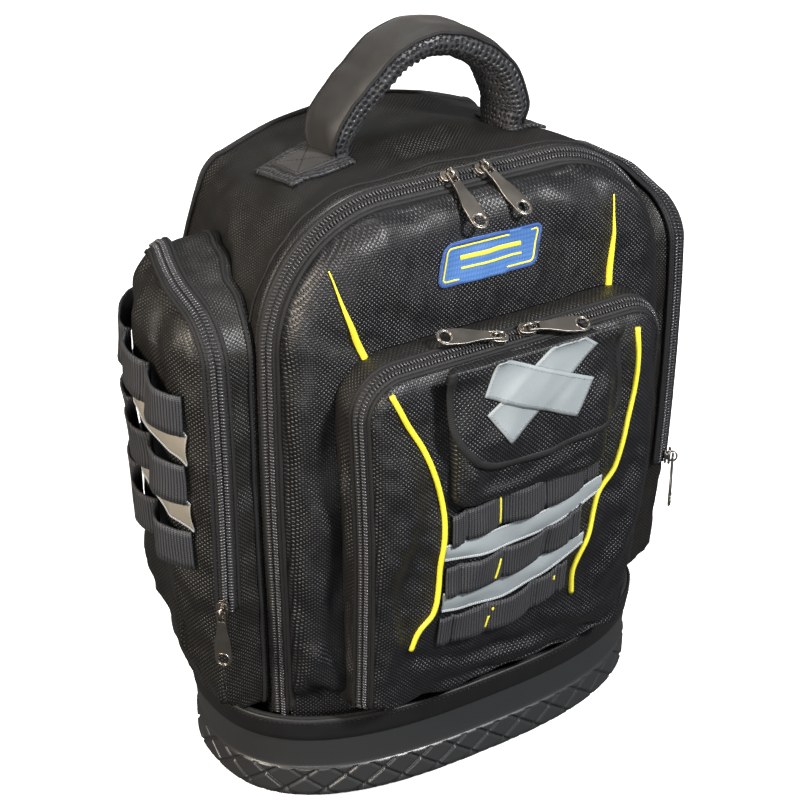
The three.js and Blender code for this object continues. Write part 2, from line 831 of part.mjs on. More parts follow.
function crossStrip(name, tilt, hosts) {
  const a = THREE.MathUtils.degToRad(tilt);
  const places = span(-0.5, 0.5, 8).map((s) =>
    span(-0.5, 0.5, 2).map((w) => {
      const along = s * crossLength;
      const across = w * crossWidth;
      const z = crossHeight + along * Math.sin(a) + across * Math.cos(a);
      return [along * Math.cos(a) - across * Math.sin(a), Math.min(z, flapTop - 4)];
    }),
  );
  return add(name, wall(drape(places, hosts, "front", gap * 1.5, 3.5), crossThickness, forwards), silver);
}
const rising = crossStrip("flap_strip_rising", risingTilt, [flap]);
crossStrip("flap_strip_falling", fallingTilt, [flap, rising]);

// Reflective strips and webbing rows

function bandGrid({ side, hosts, ends, height, width, columns, rise, near }) {
  const along = span(ends.from, ends.to, columns);
  const middleOf = (ends.from + ends.to) / 2;
  const places = [-0.5, 0.5].map((w) => along.map((u) => [u, height(u, middleOf) + w * width]));
  const seated = drape(places, hosts, side, gap, near);
  const { to: inwards } = sides[side];
  return seated.map((row) => row.map((p, j) => p.addScaledVector(inwards, -rise(j / columns))));
}

const flatBand = { rise: () => 0, near: 4 };
const looped = (count, height) => ({
  rise: (t) => height * Math.abs(Math.sin(Math.PI * count * t)) ** 0.8,
  near: 0.5,
});

const frontStrips = stripEnds.map(({ left, right }, i) => {
  const height = () => firstRowHeight - rowPitch * (i + 0.5);
  const ends = { from: left * pocketHalfWidth, to: right * pocketHalfWidth };
  const grid = bandGrid({ side: "front", hosts: [cover], ends, height, width: stripWidth, columns: 10, ...flatBand });
  return add(`front_strip_${i + 1}`, wall(grid, stripThickness, forwards), silver);
});
rowEnds.forEach(({ left, right }, i) => {
  const height = () => firstRowHeight - rowPitch * i;
  const ends = { from: left * pocketHalfWidth, to: right * pocketHalfWidth };
  const place = { side: "front", hosts: [cover, ...frontStrips], ends, height };
  const grid = bandGrid({ ...place, width: webbingWidth, columns: 16, ...looped(4, loopRise) });
  add(`front_webbing_${i + 1}`, wall(grid, webbingThickness, forwards), lining);
});

// Piping

function piping(name, rows, column, half, [foot, top], host) {
  const places = rows.map((row) => [row[column] * half, mix(foot, top, row.height)]);
  const path = drape([places], [host], "front", gap + pipingRadius, 4)[0];
  add(name, tube(path, pipingRadius, 3, rows.length), yellow);
}
["left", "right"].forEach((column) => {
  piping(`lower_piping_${column}`, lowerPiping, column, pocketHalfWidth, [0, pocketHeight], cover);
  piping(`upper_piping_${column}`, upperPiping, column, bodyHalfWidth, [pocketHeight, bodyHeight], lid);
});

// Label patch

function labelGrid() {
  const round = 5;
  return span(-1, 1, 4).map((v) => {
    const z = (v * labelWidth) / 2;
    const over = Math.max(Math.abs(z) - (labelWidth / 2 - round), 0);
    const half = labelLength / 2 - round + Math.sqrt(round * round - over * over);
    return span(-half, half, 4).map((x) => [x, labelHeight + z]);
  });
}
add("label_patch", wall(drape(labelGrid(), [lid], "front", gap, 2), labelThickness, forwards), blue);

// Side pockets with their zips, webbing rows and strips

const sideHalf = (sideRear + zipForward - sideFrontInset) / 2;
const sideMiddle = sideRear - sideHalf;

function sideOutline(inset) {
  const outline = arch({
    half: sideHalf - inset,
    halfFoot: sideHalf - inset,
    foot: bootHeight + gap * 2 + inset * 0.6,
    top: sideTop - inset,
    round: Math.max(mix(sideFrontRound, sideRearRound, 0.5) - inset, 6),
    footRound: 8,
    waist: sideZipEnd,
    knee: mix(bootHeight, sideZipEnd, 0.6),
  });
  return outline.map(([u, z]) => {
    const forward = zipY(z) + zipForward;
    const frontness = THREE.MathUtils.clamp((sideHalf - u) / (2 * sideHalf), 0, 1);
    const slope = sideTopSlope * u * smooth(0.5, 1, z / sideTop);
    const cut = frontness > 0.5 ? (frontness - 0.5) * sideFrontCut * smooth(0.8, 1, z / sideTop) : 0;
    return [sideMiddle + u + forward * frontness, z + slope - cut];
  });
}

// Where the sliders of the side zips rest
const sideZipFoot = {};

function sidePocket(sign, side) {
  const full = fullness[side];
  const host = [solids.get("rear_shell"), solids.get("main_zip")];
  const seats = drape([sideOutline(0)], host, side, gap * 3, 11)[0].map((p) => Math.abs(p.x));
  const rows = sideRows.map(({ inset, out, bulge }) => {
    const outline = sideOutline(inset * sideHalf);
    return outline.map(([y, z], j) => {
      const rearness = smooth(-0.2, 1, (y - sideMiddle) / sideHalf);
      const edge = sideHalfWidth * (1 - 0.07 * rearness);
      const swell = sideBulge * full * bulge * smooth(bootHeight, sideZipEnd + 20, z);
      const p = point(sign * (mix(seats[j], edge, out) + swell), y, z);
      return out > 0 ? tuck(p, -bootLip, bootHeight, 0.9) : p;
    });
  });
  const z = mix(bootHeight, sideTop, 0.5);
  const tip = point(sign * (sideHalfWidth + sideBulge * full), sideMiddle, z);
  rows.push(rows[0].map(() => tip.clone()));
  const centre = point(sign * bodyHalfWidth * 0.9, sideMiddle, (bootHeight + sideTop) / 2);
  const pocket = add(`side_pocket_${side}`, cup(rows, sideWall, awayFrom(centre), sideways), cloth);

  const edge = rows.slice(1, 4);
  const count = edge[0].length;
  const runs = [];
  for (let j = 0; j < count; j++) {
    const k = (j + count / 2 - 4) % count;
    const p = edge[1][k];
    const zipped = p.z > sideZipEnd - 1 && p.y < sideMiddle + sideHalf * 0.86;
    if (zipped) runs.push(k);
    else if (runs.length) break;
  }
  const outwards = point(sign, 0, 0);
  const normals = normalsOf(edge, true);
  const turn = normals[2][runs[3]].dot(outwards) > 0 ? 1 : -1;
  const band = edge.map((row, i) =>
    runs.map((k) => row[k].clone().addScaledVector(normals[i][k], turn * gap * 3)),
  );
  const foot = band[1][band[1].length - 1];
  sideZipFoot[side] = { centre: foot.clone().setZ(foot.z + sliderLength / 2), normal: point(sign, -1, 0) };
  add(`side_zip_${side}`, wall(band, tapeThickness, (p) => p.clone().sub(centre)), coil);

  const away = () => outwards.clone();
  const ends = { from: sideMiddle - sideHalf * 0.84, to: sideMiddle + sideHalf * 0.84 };
  const heightOf = (k) => (u, at) => sideFirstRow - sideRowPitch * k + sideRowSlope * (u - at);
  const strips = [0, 1].map((i) => {
    const place = { side, hosts: [pocket], ends, height: heightOf(i + 0.5) };
    const grid = bandGrid({ ...place, width: sideStripWidth, columns: 8, ...flatBand });
    return add(`side_strip_${side}_${i + 1}`, wall(grid, stripThickness, away), silver);
  });
  [0, 1, 2].forEach((i) => {
    const place = { side, hosts: [pocket, ...strips], ends, height: heightOf(i) };
    const grid = bandGrid({ ...place, width: sideWebbingWidth, columns: 15, ...looped(3, sideLoopRise * full) });
    add(`side_webbing_${side}_${i + 1}`, wall(grid, webbingThickness, away), lining);
  });
}
sidePocket(-1, "left");
sidePocket(1, "right");

// Handle: a padded bar on two sewn feet

function skin(loops) {
  const triangles = [];
  const n = loops[0].length;
  const centreOf = (loop) => loop.reduce((sum, p) => sum.add(p), point(0, 0, 0)).divideScalar(n);
  for (let i = 0; i < loops.length - 1; i++) {
    for (let j = 0; j < n; j++) {
      const k = (j + 1) % n;
      triangles.push([loops[i][j], loops[i][k], loops[i + 1][k]], [loops[i][j], loops[i + 1][k], loops[i + 1][j]]);
    }
  }
  const [first, last] = [loops[0], loops[loops.length - 1]];
  const [start, end] = [centreOf(first), centreOf(last)];
  for (let j = 0; j < n; j++) {
    const k = (j + 1) % n;
    triangles.push([first[k], first[j], start], [last[j], last[k], end]);
  }
  const turned = signedVolume(triangles) < 0 ? triangles.map(([a, b, c]) => [a, c, b]) : triangles;
  return fromTriangles(turned);
}

function handleFoot(sign, label) {
  const from = handleShift + sign * (handleHalfSpan - handleThickness / 2 - 2);
  const to = from + sign * footLength;
  const skew = -sign * handleSkew;
  const rows = span(from, to, 4).map((x) =>
    span(-handleWidth / 2 - 2, handleWidth / 2 + 2, 2).map((y) => [x, handleBack + skew + y]),
  );
  const grid = drape(rows, [solids.get("rear_shell")], "top", gap, 2.5);
  const foot = wall(grid, footThickness, () => point(0, 0, 1));
  return add(`handle_foot_${label}`, foot, lining);
}
const feet = [handleFoot(-1, "left"), handleFoot(1, "right")];

function handleLoops() {
  const ends = [handleLine[0], handleLine[handleLine.length - 1]].map(({ across }) => {
    const x = handleShift + across * handleHalfSpan;
    const y = handleBack - Math.sign(across) * handleSkew;
    const corners = [-1, 0, 1].flatMap((a) => [-1, 0, 1].map((b) => [a, b]));
    const heights = corners.map(([a, b]) => {
      const hit = touch(feet, "top", x + (a * handleThickness) / 2, y + (b * handleWidth) / 2);
      return hit ? hit.z : 0;
    });
    return Math.max(...heights) + gap;
  });
  const line = handleLine.map(({ across, up }, i) => {
    const t = i / (handleLine.length - 1);
    const z = mix(ends[0], ends[1], t) + up * handleRise;
    return point(handleShift + across * handleHalfSpan, mix(handleBack + handleSkew, handleBack - handleSkew, t), z);
  });
  const curve = new THREE.CatmullRomCurve3(line);
  const steps = 14;
  return span(0, 1, steps).map((t, i) => {
    const p = curve.getPoint(t);
    const flat = i === 0 || i === steps;
    const tangent = flat ? point(0, 0, i === 0 ? 1 : -1) : curve.getTangent(t);
    const across = point(0, 1, 0);
    const up = tangent.clone().cross(across).normalize();
    return Array.from({ length: 10 }, (_, k) => {
      const a = (k / 10 + 1 / 20) * Math.PI * 2;
      const c = Math.sign(Math.cos(a)) * Math.abs(Math.cos(a)) ** 0.5;
      const s = Math.sign(Math.sin(a)) * Math.abs(Math.sin(a)) ** 0.7;
      return p
        .clone()
        .addScaledVector(across, (c * handleWidth) / 2)
        .addScaledVector(up, (s * handleThickness) / 2);
    });
  });
}
add("handle", skin(handleLoops()), cloth);

// Zip sliders with their pull tabs

function solidFrom(geometry) {
  const bare = geometry.clone();
  bare.deleteAttribute("normal");
  bare.deleteAttribute("uv");
  const merged = mergeVertices(bare, 1e-4);
  const triVerts = new Uint32Array(merged.index.array);
  const vertProperties = merged.attributes.position.array;
  return new wasm.Manifold(new wasm.Mesh({ numProp: 3, vertProperties, triVerts }));
}

function joined(a, b) {
  const mesh = solidFrom(a).add(solidFrom(b)).getMesh();
  const geometry = new THREE.BufferGeometry();
  geometry.setAttribute("position", new THREE.BufferAttribute(mesh.vertProperties.slice(), 3));
  geometry.setIndex(new THREE.BufferAttribute(mesh.triVerts.slice(), 1));
  geometry.computeVertexNormals();
  return geometry;
}

// Slider block and bail in their own frame: x to the tab, y across, z away from the cloth
function sliderShape(alongTab, acrossTab) {
  const block = new THREE.BoxGeometry(alongTab, acrossTab, sliderHeight);
  block.translate(0, 0, sliderHeight / 2);
  const radius = bailInner + bailWire / 2;
  const height = sliderHeight + axisLift;
  const low = height - axisLift - bailWire / 2;
  const path = [point(-radius, 0, low)];
  span(0, Math.PI, 6).forEach((a) => path.push(point(-radius * Math.cos(a), 0, height + radius * Math.sin(a))));
  path.push(point(radius, 0, low));
  return joined(block, tube(path, bailWire / 2, 3, 7));
}

function tabShape() {
  const bar = tabThickness / 2 + 0.1;
  const neck = slotHalfWidth + 1.3;
  const half = tabWidth / 2;
  const endX = tabLength - half;
  const shape = new THREE.Shape();
  shape.moveTo(-bar, -neck);
  shape.lineTo(bailInner * 3, -neck);
  shape.lineTo(endX * 0.6, -half);
  shape.lineTo(endX, -half);
  shape.absarc(endX, 0, half, -Math.PI / 2, Math.PI / 2, false);
  shape.lineTo(endX * 0.6, half);
  shape.lineTo(bailInner * 3, neck);
  shape.lineTo(-bar, neck);
  shape.closePath();
  const slot = new THREE.Path();
  const slotEnd = bar + bailInner + bailWire + 2;
  slot.moveTo(bar, -slotHalfWidth);
  slot.lineTo(bar, slotHalfWidth);
  slot.lineTo(slotEnd, slotHalfWidth);
  slot.lineTo(slotEnd, -slotHalfWidth);
  slot.closePath();
  const eye = new THREE.Path();
  eye.absarc(endX, 0, tabHole, 0, Math.PI * 2, true);
  shape.holes.push(slot, eye);
  const settings = { depth: tabThickness, bevelEnabled: false, curveSegments: 4 };
  const plate = new THREE.ExtrudeGeometry(shape, settings);
  return plate.translate(0, 0, -tabThickness / 2);
}

// Seats a slider on its hosts; the tab lies the way that the slider's own x points
function slider({ name, hosts, centre, normal, tabWay, turn, chainAlongTab }) {
  const z = normal.clone().normalize();
  const x = tabWay.clone().addScaledVector(z, -tabWay.dot(z)).normalize();
  x.applyAxisAngle(z, THREE.MathUtils.degToRad(turn));
  const y = z.clone().cross(x);
  const long = chainAlongTab ? sliderLength : sliderWidth;
  const wide = chainAlongTab ? sliderWidth : sliderLength;
  const reach = sliderLength * 2;
  const heights = [-0.5, -0.25, 0, 0.25, 0.5].flatMap((a) =>
    [-0.5, -0.25, 0, 0.25, 0.5].map((b) => {
      const from = centre.clone().addScaledVector(x, a * long).addScaledVector(y, b * wide);
      ray.set(from.addScaledVector(z, reach), z.clone().negate());
      const hits = ray.intersectObjects(hosts, false);
      return hits.length ? reach - hits[0].distance : -reach;
    }),
  );
  const frame = new THREE.Matrix4().makeBasis(x, y, z);
  frame.setPosition(centre.clone().addScaledVector(z, Math.max(...heights) + gap));
  add(`slider_${name}`, sliderShape(long, wide).applyMatrix4(frame), nickel);
  frame.multiply(new THREE.Matrix4().makeTranslation(0, 0, sliderHeight + axisLift));
  const pull = add(`pull_${name}`, tabShape().applyMatrix4(frame), nickel);
  pull.userData = { pivot: new THREE.Vector3().setFromMatrixPosition(frame).toArray(), axis: y.toArray() };
}

function sliders() {
  const mainNormal = point(0, -zipCone, zipWidth);
  const pocketNormal = point(0, -pocketZipCone, pocketZipWidth);
  const [mainLeft, mainRight, pocketLeft, pocketRight, sideLeft, sideRight] = pulls;
  [mainLeft, mainRight].forEach((pull) => {
    const centre = point(pull.place, zipY(bodyHeight), bodyHeight - zipCone / 2);
    const hosts = [solids.get("main_zip"), solids.get("rear_shell"), lid];
    slider({ ...pull, hosts, centre, normal: mainNormal, tabWay: forwards(), chainAlongTab: false });
  });
  [pocketLeft, pocketRight].forEach((pull) => {
    const centre = point(pull.place, pocketY(pocketHeight), pocketHeight - pocketZipCone / 2);
    const hosts = ["front_pocket", "front_pocket_zip", "front_pocket_cover"].map((name) => solids.get(name));
    const tabWay = point(Math.sign(pull.place), 0, 0);
    slider({ ...pull, hosts, centre, normal: pocketNormal, tabWay, chainAlongTab: true });
  });
  [sideLeft, sideRight].forEach((pull) => {
    const side = pull.name.replace("side_", "");
    const hosts = [solids.get(`side_zip_${side}`), solids.get(`side_pocket_${side}`)];
    const { centre, normal } = sideZipFoot[side];
    slider({ ...pull, hosts, centre, normal, tabWay: point(0, 0, -1), chainAlongTab: true });
  });
}
sliders();

// Back panel and shoulder straps

const depthwaysOut = () => point(0, 1, 0);
function backPanel() {
  const places = span(padFoot, padTop, 7).map((z) => {
    const share = (z - padFoot) / (padTop - padFoot);
    const half = padHalfWidth * (1 - 0.1 * share - 0.12 * Math.abs(2 * share - 1) ** 6);
    return span(-half, half, 4).map((x) => [x, z]);
  });
  const grid = drape(places, [solids.get("rear_shell")], "back", gap, 20);
  return wall(grid, padThickness, depthwaysOut);
}
const panel = add("back_panel", backPanel(), lining);

function strap(sign, label) {
  const hosts = [solids.get("rear_shell"), panel];
  const seated = (x, z, bow) => {
    const p = drape([[[x, z]]], hosts, "back", gap, 9)[0][0];
    return p.setY(p.y + bow * strapBow);
  };
  const middleAt = (spread) => sign * mix(strapSpacing, strapSpacing + 14, spread);
  const rows = strapLine.map(({ height, bow, spread }) =>
    [-0.5, 0, 0.5].map((w) =>
      seated(middleAt(spread) + (w * strapWidth) / (1 + spread * 0.25), mix(strapFoot, strapTop, height), bow),
    ),
  );
  const level = (row) => Math.max(...row.map((p) => p.y));
  const flat = rows.map((row) => row.map((p) => p.clone().setY(level(row))));
  add(`shoulder_strap_${label}`, wall(flat, strapThickness, depthwaysOut), lining);

  const x = middleAt(1);
  const foot = flat[flat.length - 1][1];
  const buckle = new THREE.BoxGeometry(buckleWidth, buckleThickness, buckleHeight);
  buckle.translate(x, foot.y + strapThickness / 2, foot.z - gap - buckleHeight / 2);
  add(`strap_buckle_${label}`, buckle, rubber);

  const top = foot.z - gap * 2 - buckleHeight;
  const tail = span(0, 1, 6).map((t) => {
    const z = mix(top, tailFoot, t);
    const p = seated(x, z, 0);
    const y = mix(foot.y + strapThickness / 2, p.y, smooth(0, 1, t));
    return [-0.5, 0.5].map((w) => point(x + w * tailWidth, Math.max(y, p.y), z));
  });
  add(`strap_tail_${label}`, wall(tail, webbingThickness, depthwaysOut), lining);
}
strap(-1, "left");
strap(1, "right");

export default root;
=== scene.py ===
import json
import logging
import math
from dataclasses import dataclass
from enum import Enum
from typing import Callable, ClassVar, Sequence

import bpy
import numpy as np
from mathutils import Matrix, Vector
from mathutils.bvhtree import BVHTree


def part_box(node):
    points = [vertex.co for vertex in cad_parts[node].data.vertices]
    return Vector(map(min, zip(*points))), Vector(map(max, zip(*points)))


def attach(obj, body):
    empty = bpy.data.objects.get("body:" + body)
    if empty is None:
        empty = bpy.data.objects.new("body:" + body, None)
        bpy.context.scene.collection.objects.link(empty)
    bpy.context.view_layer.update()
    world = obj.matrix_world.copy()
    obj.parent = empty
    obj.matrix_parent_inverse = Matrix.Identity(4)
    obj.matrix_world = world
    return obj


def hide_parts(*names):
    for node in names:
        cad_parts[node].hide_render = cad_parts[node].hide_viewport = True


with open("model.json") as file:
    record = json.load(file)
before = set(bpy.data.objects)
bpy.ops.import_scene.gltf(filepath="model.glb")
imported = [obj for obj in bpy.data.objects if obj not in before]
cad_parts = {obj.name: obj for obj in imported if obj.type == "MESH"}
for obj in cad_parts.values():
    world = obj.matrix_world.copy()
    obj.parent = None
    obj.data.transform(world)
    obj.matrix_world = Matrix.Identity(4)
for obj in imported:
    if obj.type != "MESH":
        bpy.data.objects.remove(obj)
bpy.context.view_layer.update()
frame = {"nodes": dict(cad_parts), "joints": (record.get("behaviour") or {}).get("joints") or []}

Array = np.ndarray
Table = Sequence[tuple[float, float]]
LOG = logging.getLogger("tool_backpack")
MM = 0.001


# Sizes that the cloth, the boot and the zips share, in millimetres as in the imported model


@dataclass(frozen=True)
class BagSizes:
    """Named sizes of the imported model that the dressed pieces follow."""

    gap: float = 0.35
    boot_half_width: float = 169
    boot_half_depth: float = 101
    boot_height: float = 72
    boot_front_power: float = 2.6
    boot_rear_power: float = 2.15
    boot_floor: float = 5
    boot_lip: float = 2
    tread_height: float = 28
    inner_inset: float = 7.2
    body_seam: float = 84
    body_half_width: float = 150
    body_height: float = 433
    shoulder_round: float = 85
    rear_corner_round: float = 15
    rear_crown: float = 19
    foot_round: float = 16
    zip_forward: float = 61
    rear_back: float = 88
    zip_width: float = 11
    zip_cone: float = 8
    coil_height: float = 2
    lid_depth: float = 22
    lid_round: float = 25
    pocket_half_width: float = 115
    pocket_height: float = 345
    pocket_round: float = 30
    pocket_forward: float = 118
    pocket_zip_width: float = 10
    pocket_zip_cone: float = 6
    cover_depth: float = 8
    cover_round: float = 18
    cover_bulge: float = 4
    rim_fold: float = 0.5


BAG = BagSizes()

ZIP_PLANE: Table = ((0, 0.9), (0.17, 0.93), (0.42, 1.06), (0.7, 1.09), (1, 1))
REAR_BACK: Table = ((0, 1.16), (0.2, 1.15), (0.5, 1.06), (0.75, 1), (0.88, 0.99), (1, 0.97))
REAR_WIDTH: Table = ((0, 1), (0.2, 1), (0.5, 0.95), (0.75, 0.88), (0.88, 0.77), (1, 0.655))
BODY_SIDE: Table = ((0, 0.955), (0.17, 0.96), (0.5, 1), (0.72, 1), (1, 0.97))
POCKET_PLANE: Table = ((0.2, 0.86), (0.42, 0.93), (0.66, 0.99), (1, 1))


# Small helpers on arrays of points


def mix(a: float | Array, b: float | Array, t: float | Array) -> float | Array:
    """Returns the value a share t of the way from a to b."""
    return a + (b - a) * t


def smooth(start: float, end: float, value: float | Array) -> Array:
    """Returns a smooth step from 0 at start to 1 at end."""
    t = np.clip((np.asarray(value, float) - start) / (end - start), 0, 1)
    return t * t * (3 - 2 * t)


def unit(vectors: Array) -> Array:
    """Returns the vectors at length one."""
    length = np.linalg.norm(vectors, axis=-1, keepdims=True)
    return vectors / np.maximum(length, 1e-9)


def curve_through(table: Table, at: float | Array) -> Array:
    """Reads a table on a smooth curve through its rows.

    Args:
        table: Rows of a place and the value there, places rising.
        at: The places to read.

    Returns:
        The values at those places.
    """
    keys, values = np.array(table, float).T
    at = np.clip(np.asarray(at, float), keys[0], keys[-1])
    i = np.clip(np.searchsorted(keys, at, side="right") - 1, 0, len(keys) - 2)
    low = np.maximum(np.arange(len(keys)) - 1, 0)
    high = np.minimum(np.arange(len(keys)) + 1, len(keys) - 1)
    slopes = (values[high] - values[low]) / (keys[high] - keys[low])
    step = keys[i + 1] - keys[i]
    t = (at - keys[i]) / step
    t2, t3 = t * t, t * t * t
    return (
        (2 * t3 - 3 * t2 + 1) * values[i]
        + (t3 - 2 * t2 + t) * slopes[i] * step
        + (3 * t2 - 2 * t3) * values[i + 1]
        + (t3 - t2) * slopes[i + 1] * step
    )


def stack(x: float | Array, y: float | Array, z: float | Array) -> Array:
    """Returns points from their three coordinates."""
    return np.stack(np.broadcast_arrays(x, y, z), axis=-1).astype(float)


def ripple(points: Array, wavelength: float, seed: int) -> Array:
    """Gives soft uneven swells that are the same each run.

    Args:
        points: Points in millimetres.
        wavelength: Rough distance between swells, in millimetres.
        seed: Which swells.

    Returns:
        Heights, about -1 to 1.
    """
    rng = np.random.default_rng(seed)
    total = np.zeros(points.shape[:-1])
    waves = 14
    for _ in range(waves):
        way = unit(rng.normal(size=3))
        length = wavelength * rng.uniform(0.7, 1.5)
        total += np.sin(points @ way * 2 * math.pi / length + rng.uniform(0, 2 * math.pi))
    return total / math.sqrt(waves)


@dataclass(frozen=True)
class Fold:
    """A crease in cloth along a line of points in the cloth's own plane.

    Attributes:
        line: Points that the crease runs through, in millimetres.
        width: Half its width.
        height: How far it stands out, or below zero how deep it is.
        lean: 0 for a round ridge, 1 for a step that drops on one side.
    """

    line: tuple[tuple[float, float], ...]
    width: float
    height: float
    lean: float = 0.0
    STRENGTH: ClassVar[float] = 2.0

    def relief(self, across: Array, up: Array) -> Array:
        """Returns how far the crease moves each point of the cloth.

        Args:
            across: Each point's place across.
            up: Each point's height.

        Returns:
            The values or points, one for each place.
        """
        best = np.full(across.shape, 1e9)
        signed = np.zeros(across.shape)
        share = np.zeros(across.shape)
        pieces = len(self.line) - 1
        for k in range(pieces):
            (ax, ay), (bx, by) = self.line[k], self.line[k + 1]
            dx, dy = bx - ax, by - ay
            size = dx * dx + dy * dy
            t = np.clip(((across - ax) * dx + (up - ay) * dy) / size, 0, 1)
            ox, oy = across - ax - t * dx, up - ay - t * dy
            away = np.hypot(ox, oy)
            nearer = away < best
            best = np.where(nearer, away, best)
            signed = np.where(nearer, away * np.sign(dx * oy - dy * ox), signed)
            share = np.where(nearer, (k + t) / pieces, share)
        taper = np.sin(np.pi * np.clip(share, 0.02, 0.98)) ** 0.6
        q = signed / self.width
        ridge = np.exp(-q * q)
        step = 1.6 * q * np.exp(-q * q)
        return self.height * self.STRENGTH * taper * mix(ridge, step, self.lean)


def creased(folds: Sequence[Fold], across: Array, up: Array) -> Array:
    """Returns the sum of all folds at each point.

    Args:
        folds: The creases.
        across: Each point's place across.
        up: Each point's height.

    Returns:
        The values or points, one for each place.
    """
    total = np.zeros(across.shape)
    for fold in folds:
        total = total + fold.relief(across, up)
    return total


# Meshes as arrays in millimetres


@dataclass
class Shape:
    """A mesh before it goes to Blender, with thread coordinates in millimetres."""

    points: Array
    faces: list
    thread: Array

    @staticmethod
    def joined(shapes: Sequence["Shape"]) -> "Shape":
        """Returns several shapes as one mesh of loose parts.

        Args:
            shapes: The shapes.

        Returns:
            The arrays, in that order.
        """
        faces: list = []
        start = 0
        for shape in shapes:
            faces += [[i + start for i in face] for face in shape.faces]
            start += len(shape.points)
        points = np.concatenate([shape.points for shape in shapes])
        return Shape(points, faces, np.concatenate([shape.thread for shape in shapes]))


def cells(rows: int, columns: int, ring: bool, start: int = 0, turned: bool = False) -> list:
    """Returns the four-sided faces of a grid of points.

    Args:
        rows: Rows of points.
        columns: Points in a row.
        ring: Whether each row closes on itself.
        start: Index of the grid's first point.
        turned: Whether the faces look the other way.
    """
    i = np.arange(rows - 1)[:, None]
    j = np.arange(columns if ring else columns - 1)[None, :]
    k = (j + 1) % columns
    quad = np.stack(
        np.broadcast_arrays(i * columns + j, i * columns + k, (i + 1) * columns + k, (i + 1) * columns + j),
        -1
    ).reshape(-1, 4)
    if turned:
        quad = quad[:, ::-1]
    return (quad + start).tolist()


def grid_normals(grid: Array, ring: bool) -> Array:
    """Returns the normal at each point of a grid.

    Args:
        grid: Rows of points in millimetres.
        ring: Whether each row closes on itself.

    Returns:
        The values or points, one for each place.
    """
    down = np.gradient(grid, axis=0)
    if ring:
        along = np.roll(grid, -1, axis=1) - np.roll(grid, 1, axis=1)
    else:
        along = np.gradient(grid, axis=1)
    return unit(np.cross(along, down))


def facing(normals: Array, outward: Array) -> Array:
    """Returns normals turned as one to the side that outward mostly points to."""
    return normals if float((normals * outward).sum()) > 0 else -normals


def shell(grid: Array, thickness: float, outward: Array, ring: bool, thread: Array) -> Shape:
    """Makes a closed cloth wall whose outer face is the grid.

    Args:
        grid: Rows of points, in millimetres.
        thickness: How thick the wall is, grown away from the outer side.
        outward: A vector for each point towards the outer side.
        ring: Whether each row closes on itself.
        thread: Thread coordinates for each point.

    Returns:
        The closed mesh.
    """
    normals = facing(grid_normals(grid, ring), outward)
    rows, columns = grid.shape[:2]
    inner = grid - normals * thickness
    middle_row, middle_column = rows // 2, columns // 2
    a, b, c = (
        grid[middle_row, middle_column],
        grid[middle_row, middle_column + 1],
        grid[middle_row + 1, middle_column],
    )
    outer_first = float(np.dot(np.cross(b - a, c - a), normals[middle_row, middle_column])) > 0
    faces = cells(rows, columns, ring, 0, not outer_first)
    faces += cells(rows, columns, ring, rows * columns, outer_first)
    count = columns if ring else columns - 1
    total = rows * columns
    for i in (0, rows - 1):
        for j in range(count):
            p, q = i * columns + j, i * columns + (j + 1) % columns
            face = [q, p, p + total, q + total]
            faces.append(face if (i == 0) == outer_first else face[::-1])
    if not ring:
        for j in (0, columns - 1):
            for i in range(rows - 1):
                p, q = i * columns + j, (i + 1) * columns + j
                face = [p, q, q + total, p + total]
                faces.append(face if (j == 0) == outer_first else face[::-1])
    points = np.concatenate([grid.reshape(-1, 3), inner.reshape(-1, 3)])
    flat = thread.reshape(-1, 2)
    return Shape(points, faces, np.concatenate([flat, flat]))


def frames_along(path: Array, normals: Array, closed: bool) -> tuple[Array, Array, Array]:
    """Returns the direction along a path, the side and the up vector at each point.

    Args:
        path: Points in millimetres.
        normals: Up vector at each point.
        closed: Whether the path closes on itself.

    Returns:
        Three arrays of unit vectors.
    """
    if closed:
        along = unit(np.roll(path, -1, axis=0) - np.roll(path, 1, axis=0))
    else:
        along = unit(np.gradient(path, axis=0))
    side = unit(np.cross(normals, along))
    return along, side, np.cross(along, side)


def lengths(path: Array) -> Array:
    """Returns the distance along a path at each of its points."""
    steps = np.linalg.norm(np.diff(path, axis=0), axis=1)
    return np.concatenate([[0], np.cumsum(steps)])


def sweep(
    path: Array, normals: Array, profile: Array, closed: bool = False, scale: Array | None = None
) -> Shape:
    """Draws a closed profile along a path.

    Args:
        path: Points in millimetres.
        normals: Up vector at each point.
        profile: Places across and up, in turn round the profile.
        closed: Whether the path closes on itself.
        scale: Size of the profile at each point.

    Returns:
        The closed mesh.
    """
    _, side, up = frames_along(path, normals, closed)
    size = np.ones(len(path)) if scale is None else np.asarray(scale)
    points = (
        path[:, None, :]
        + side[:, None, :] * (profile[None, :, 0] * size[:, None])[..., None]
        + up[:, None, :] * (profile[None, :, 1] * size[:, None])[..., None]
    )
    n, m = len(path), len(profile)
    loop = np.concatenate([profile, profile[:1]])
    around = lengths(np.concatenate([loop, np.zeros((len(loop), 1))], axis=1))[:-1]
    thread = np.stack(np.broadcast_arrays(lengths(path)[:, None], around[None, :]), -1)
    area = float(np.sum(loop[:-1, 0] * loop[1:, 1] - loop[1:, 0] * loop[:-1, 1]))
    turned = area > 0
    faces = []
    rows = n if closed else n - 1
    for i in range(rows):
        k = (i + 1) % n
        for j in range(m):
            q = (j + 1) % m
            face = [i * m + j, i * m + q, k * m + q, k * m + j]
            faces.append(face if turned else face[::-1])
    if not closed:
        start, end = list(range(m)), list(range((n - 1) * m, n * m))
        faces.append(start[::-1] if turned else start)
        faces.append(end if turned else end[::-1])
    return Shape(points.reshape(-1, 3), faces, thread.reshape(-1, 2).astype(float))


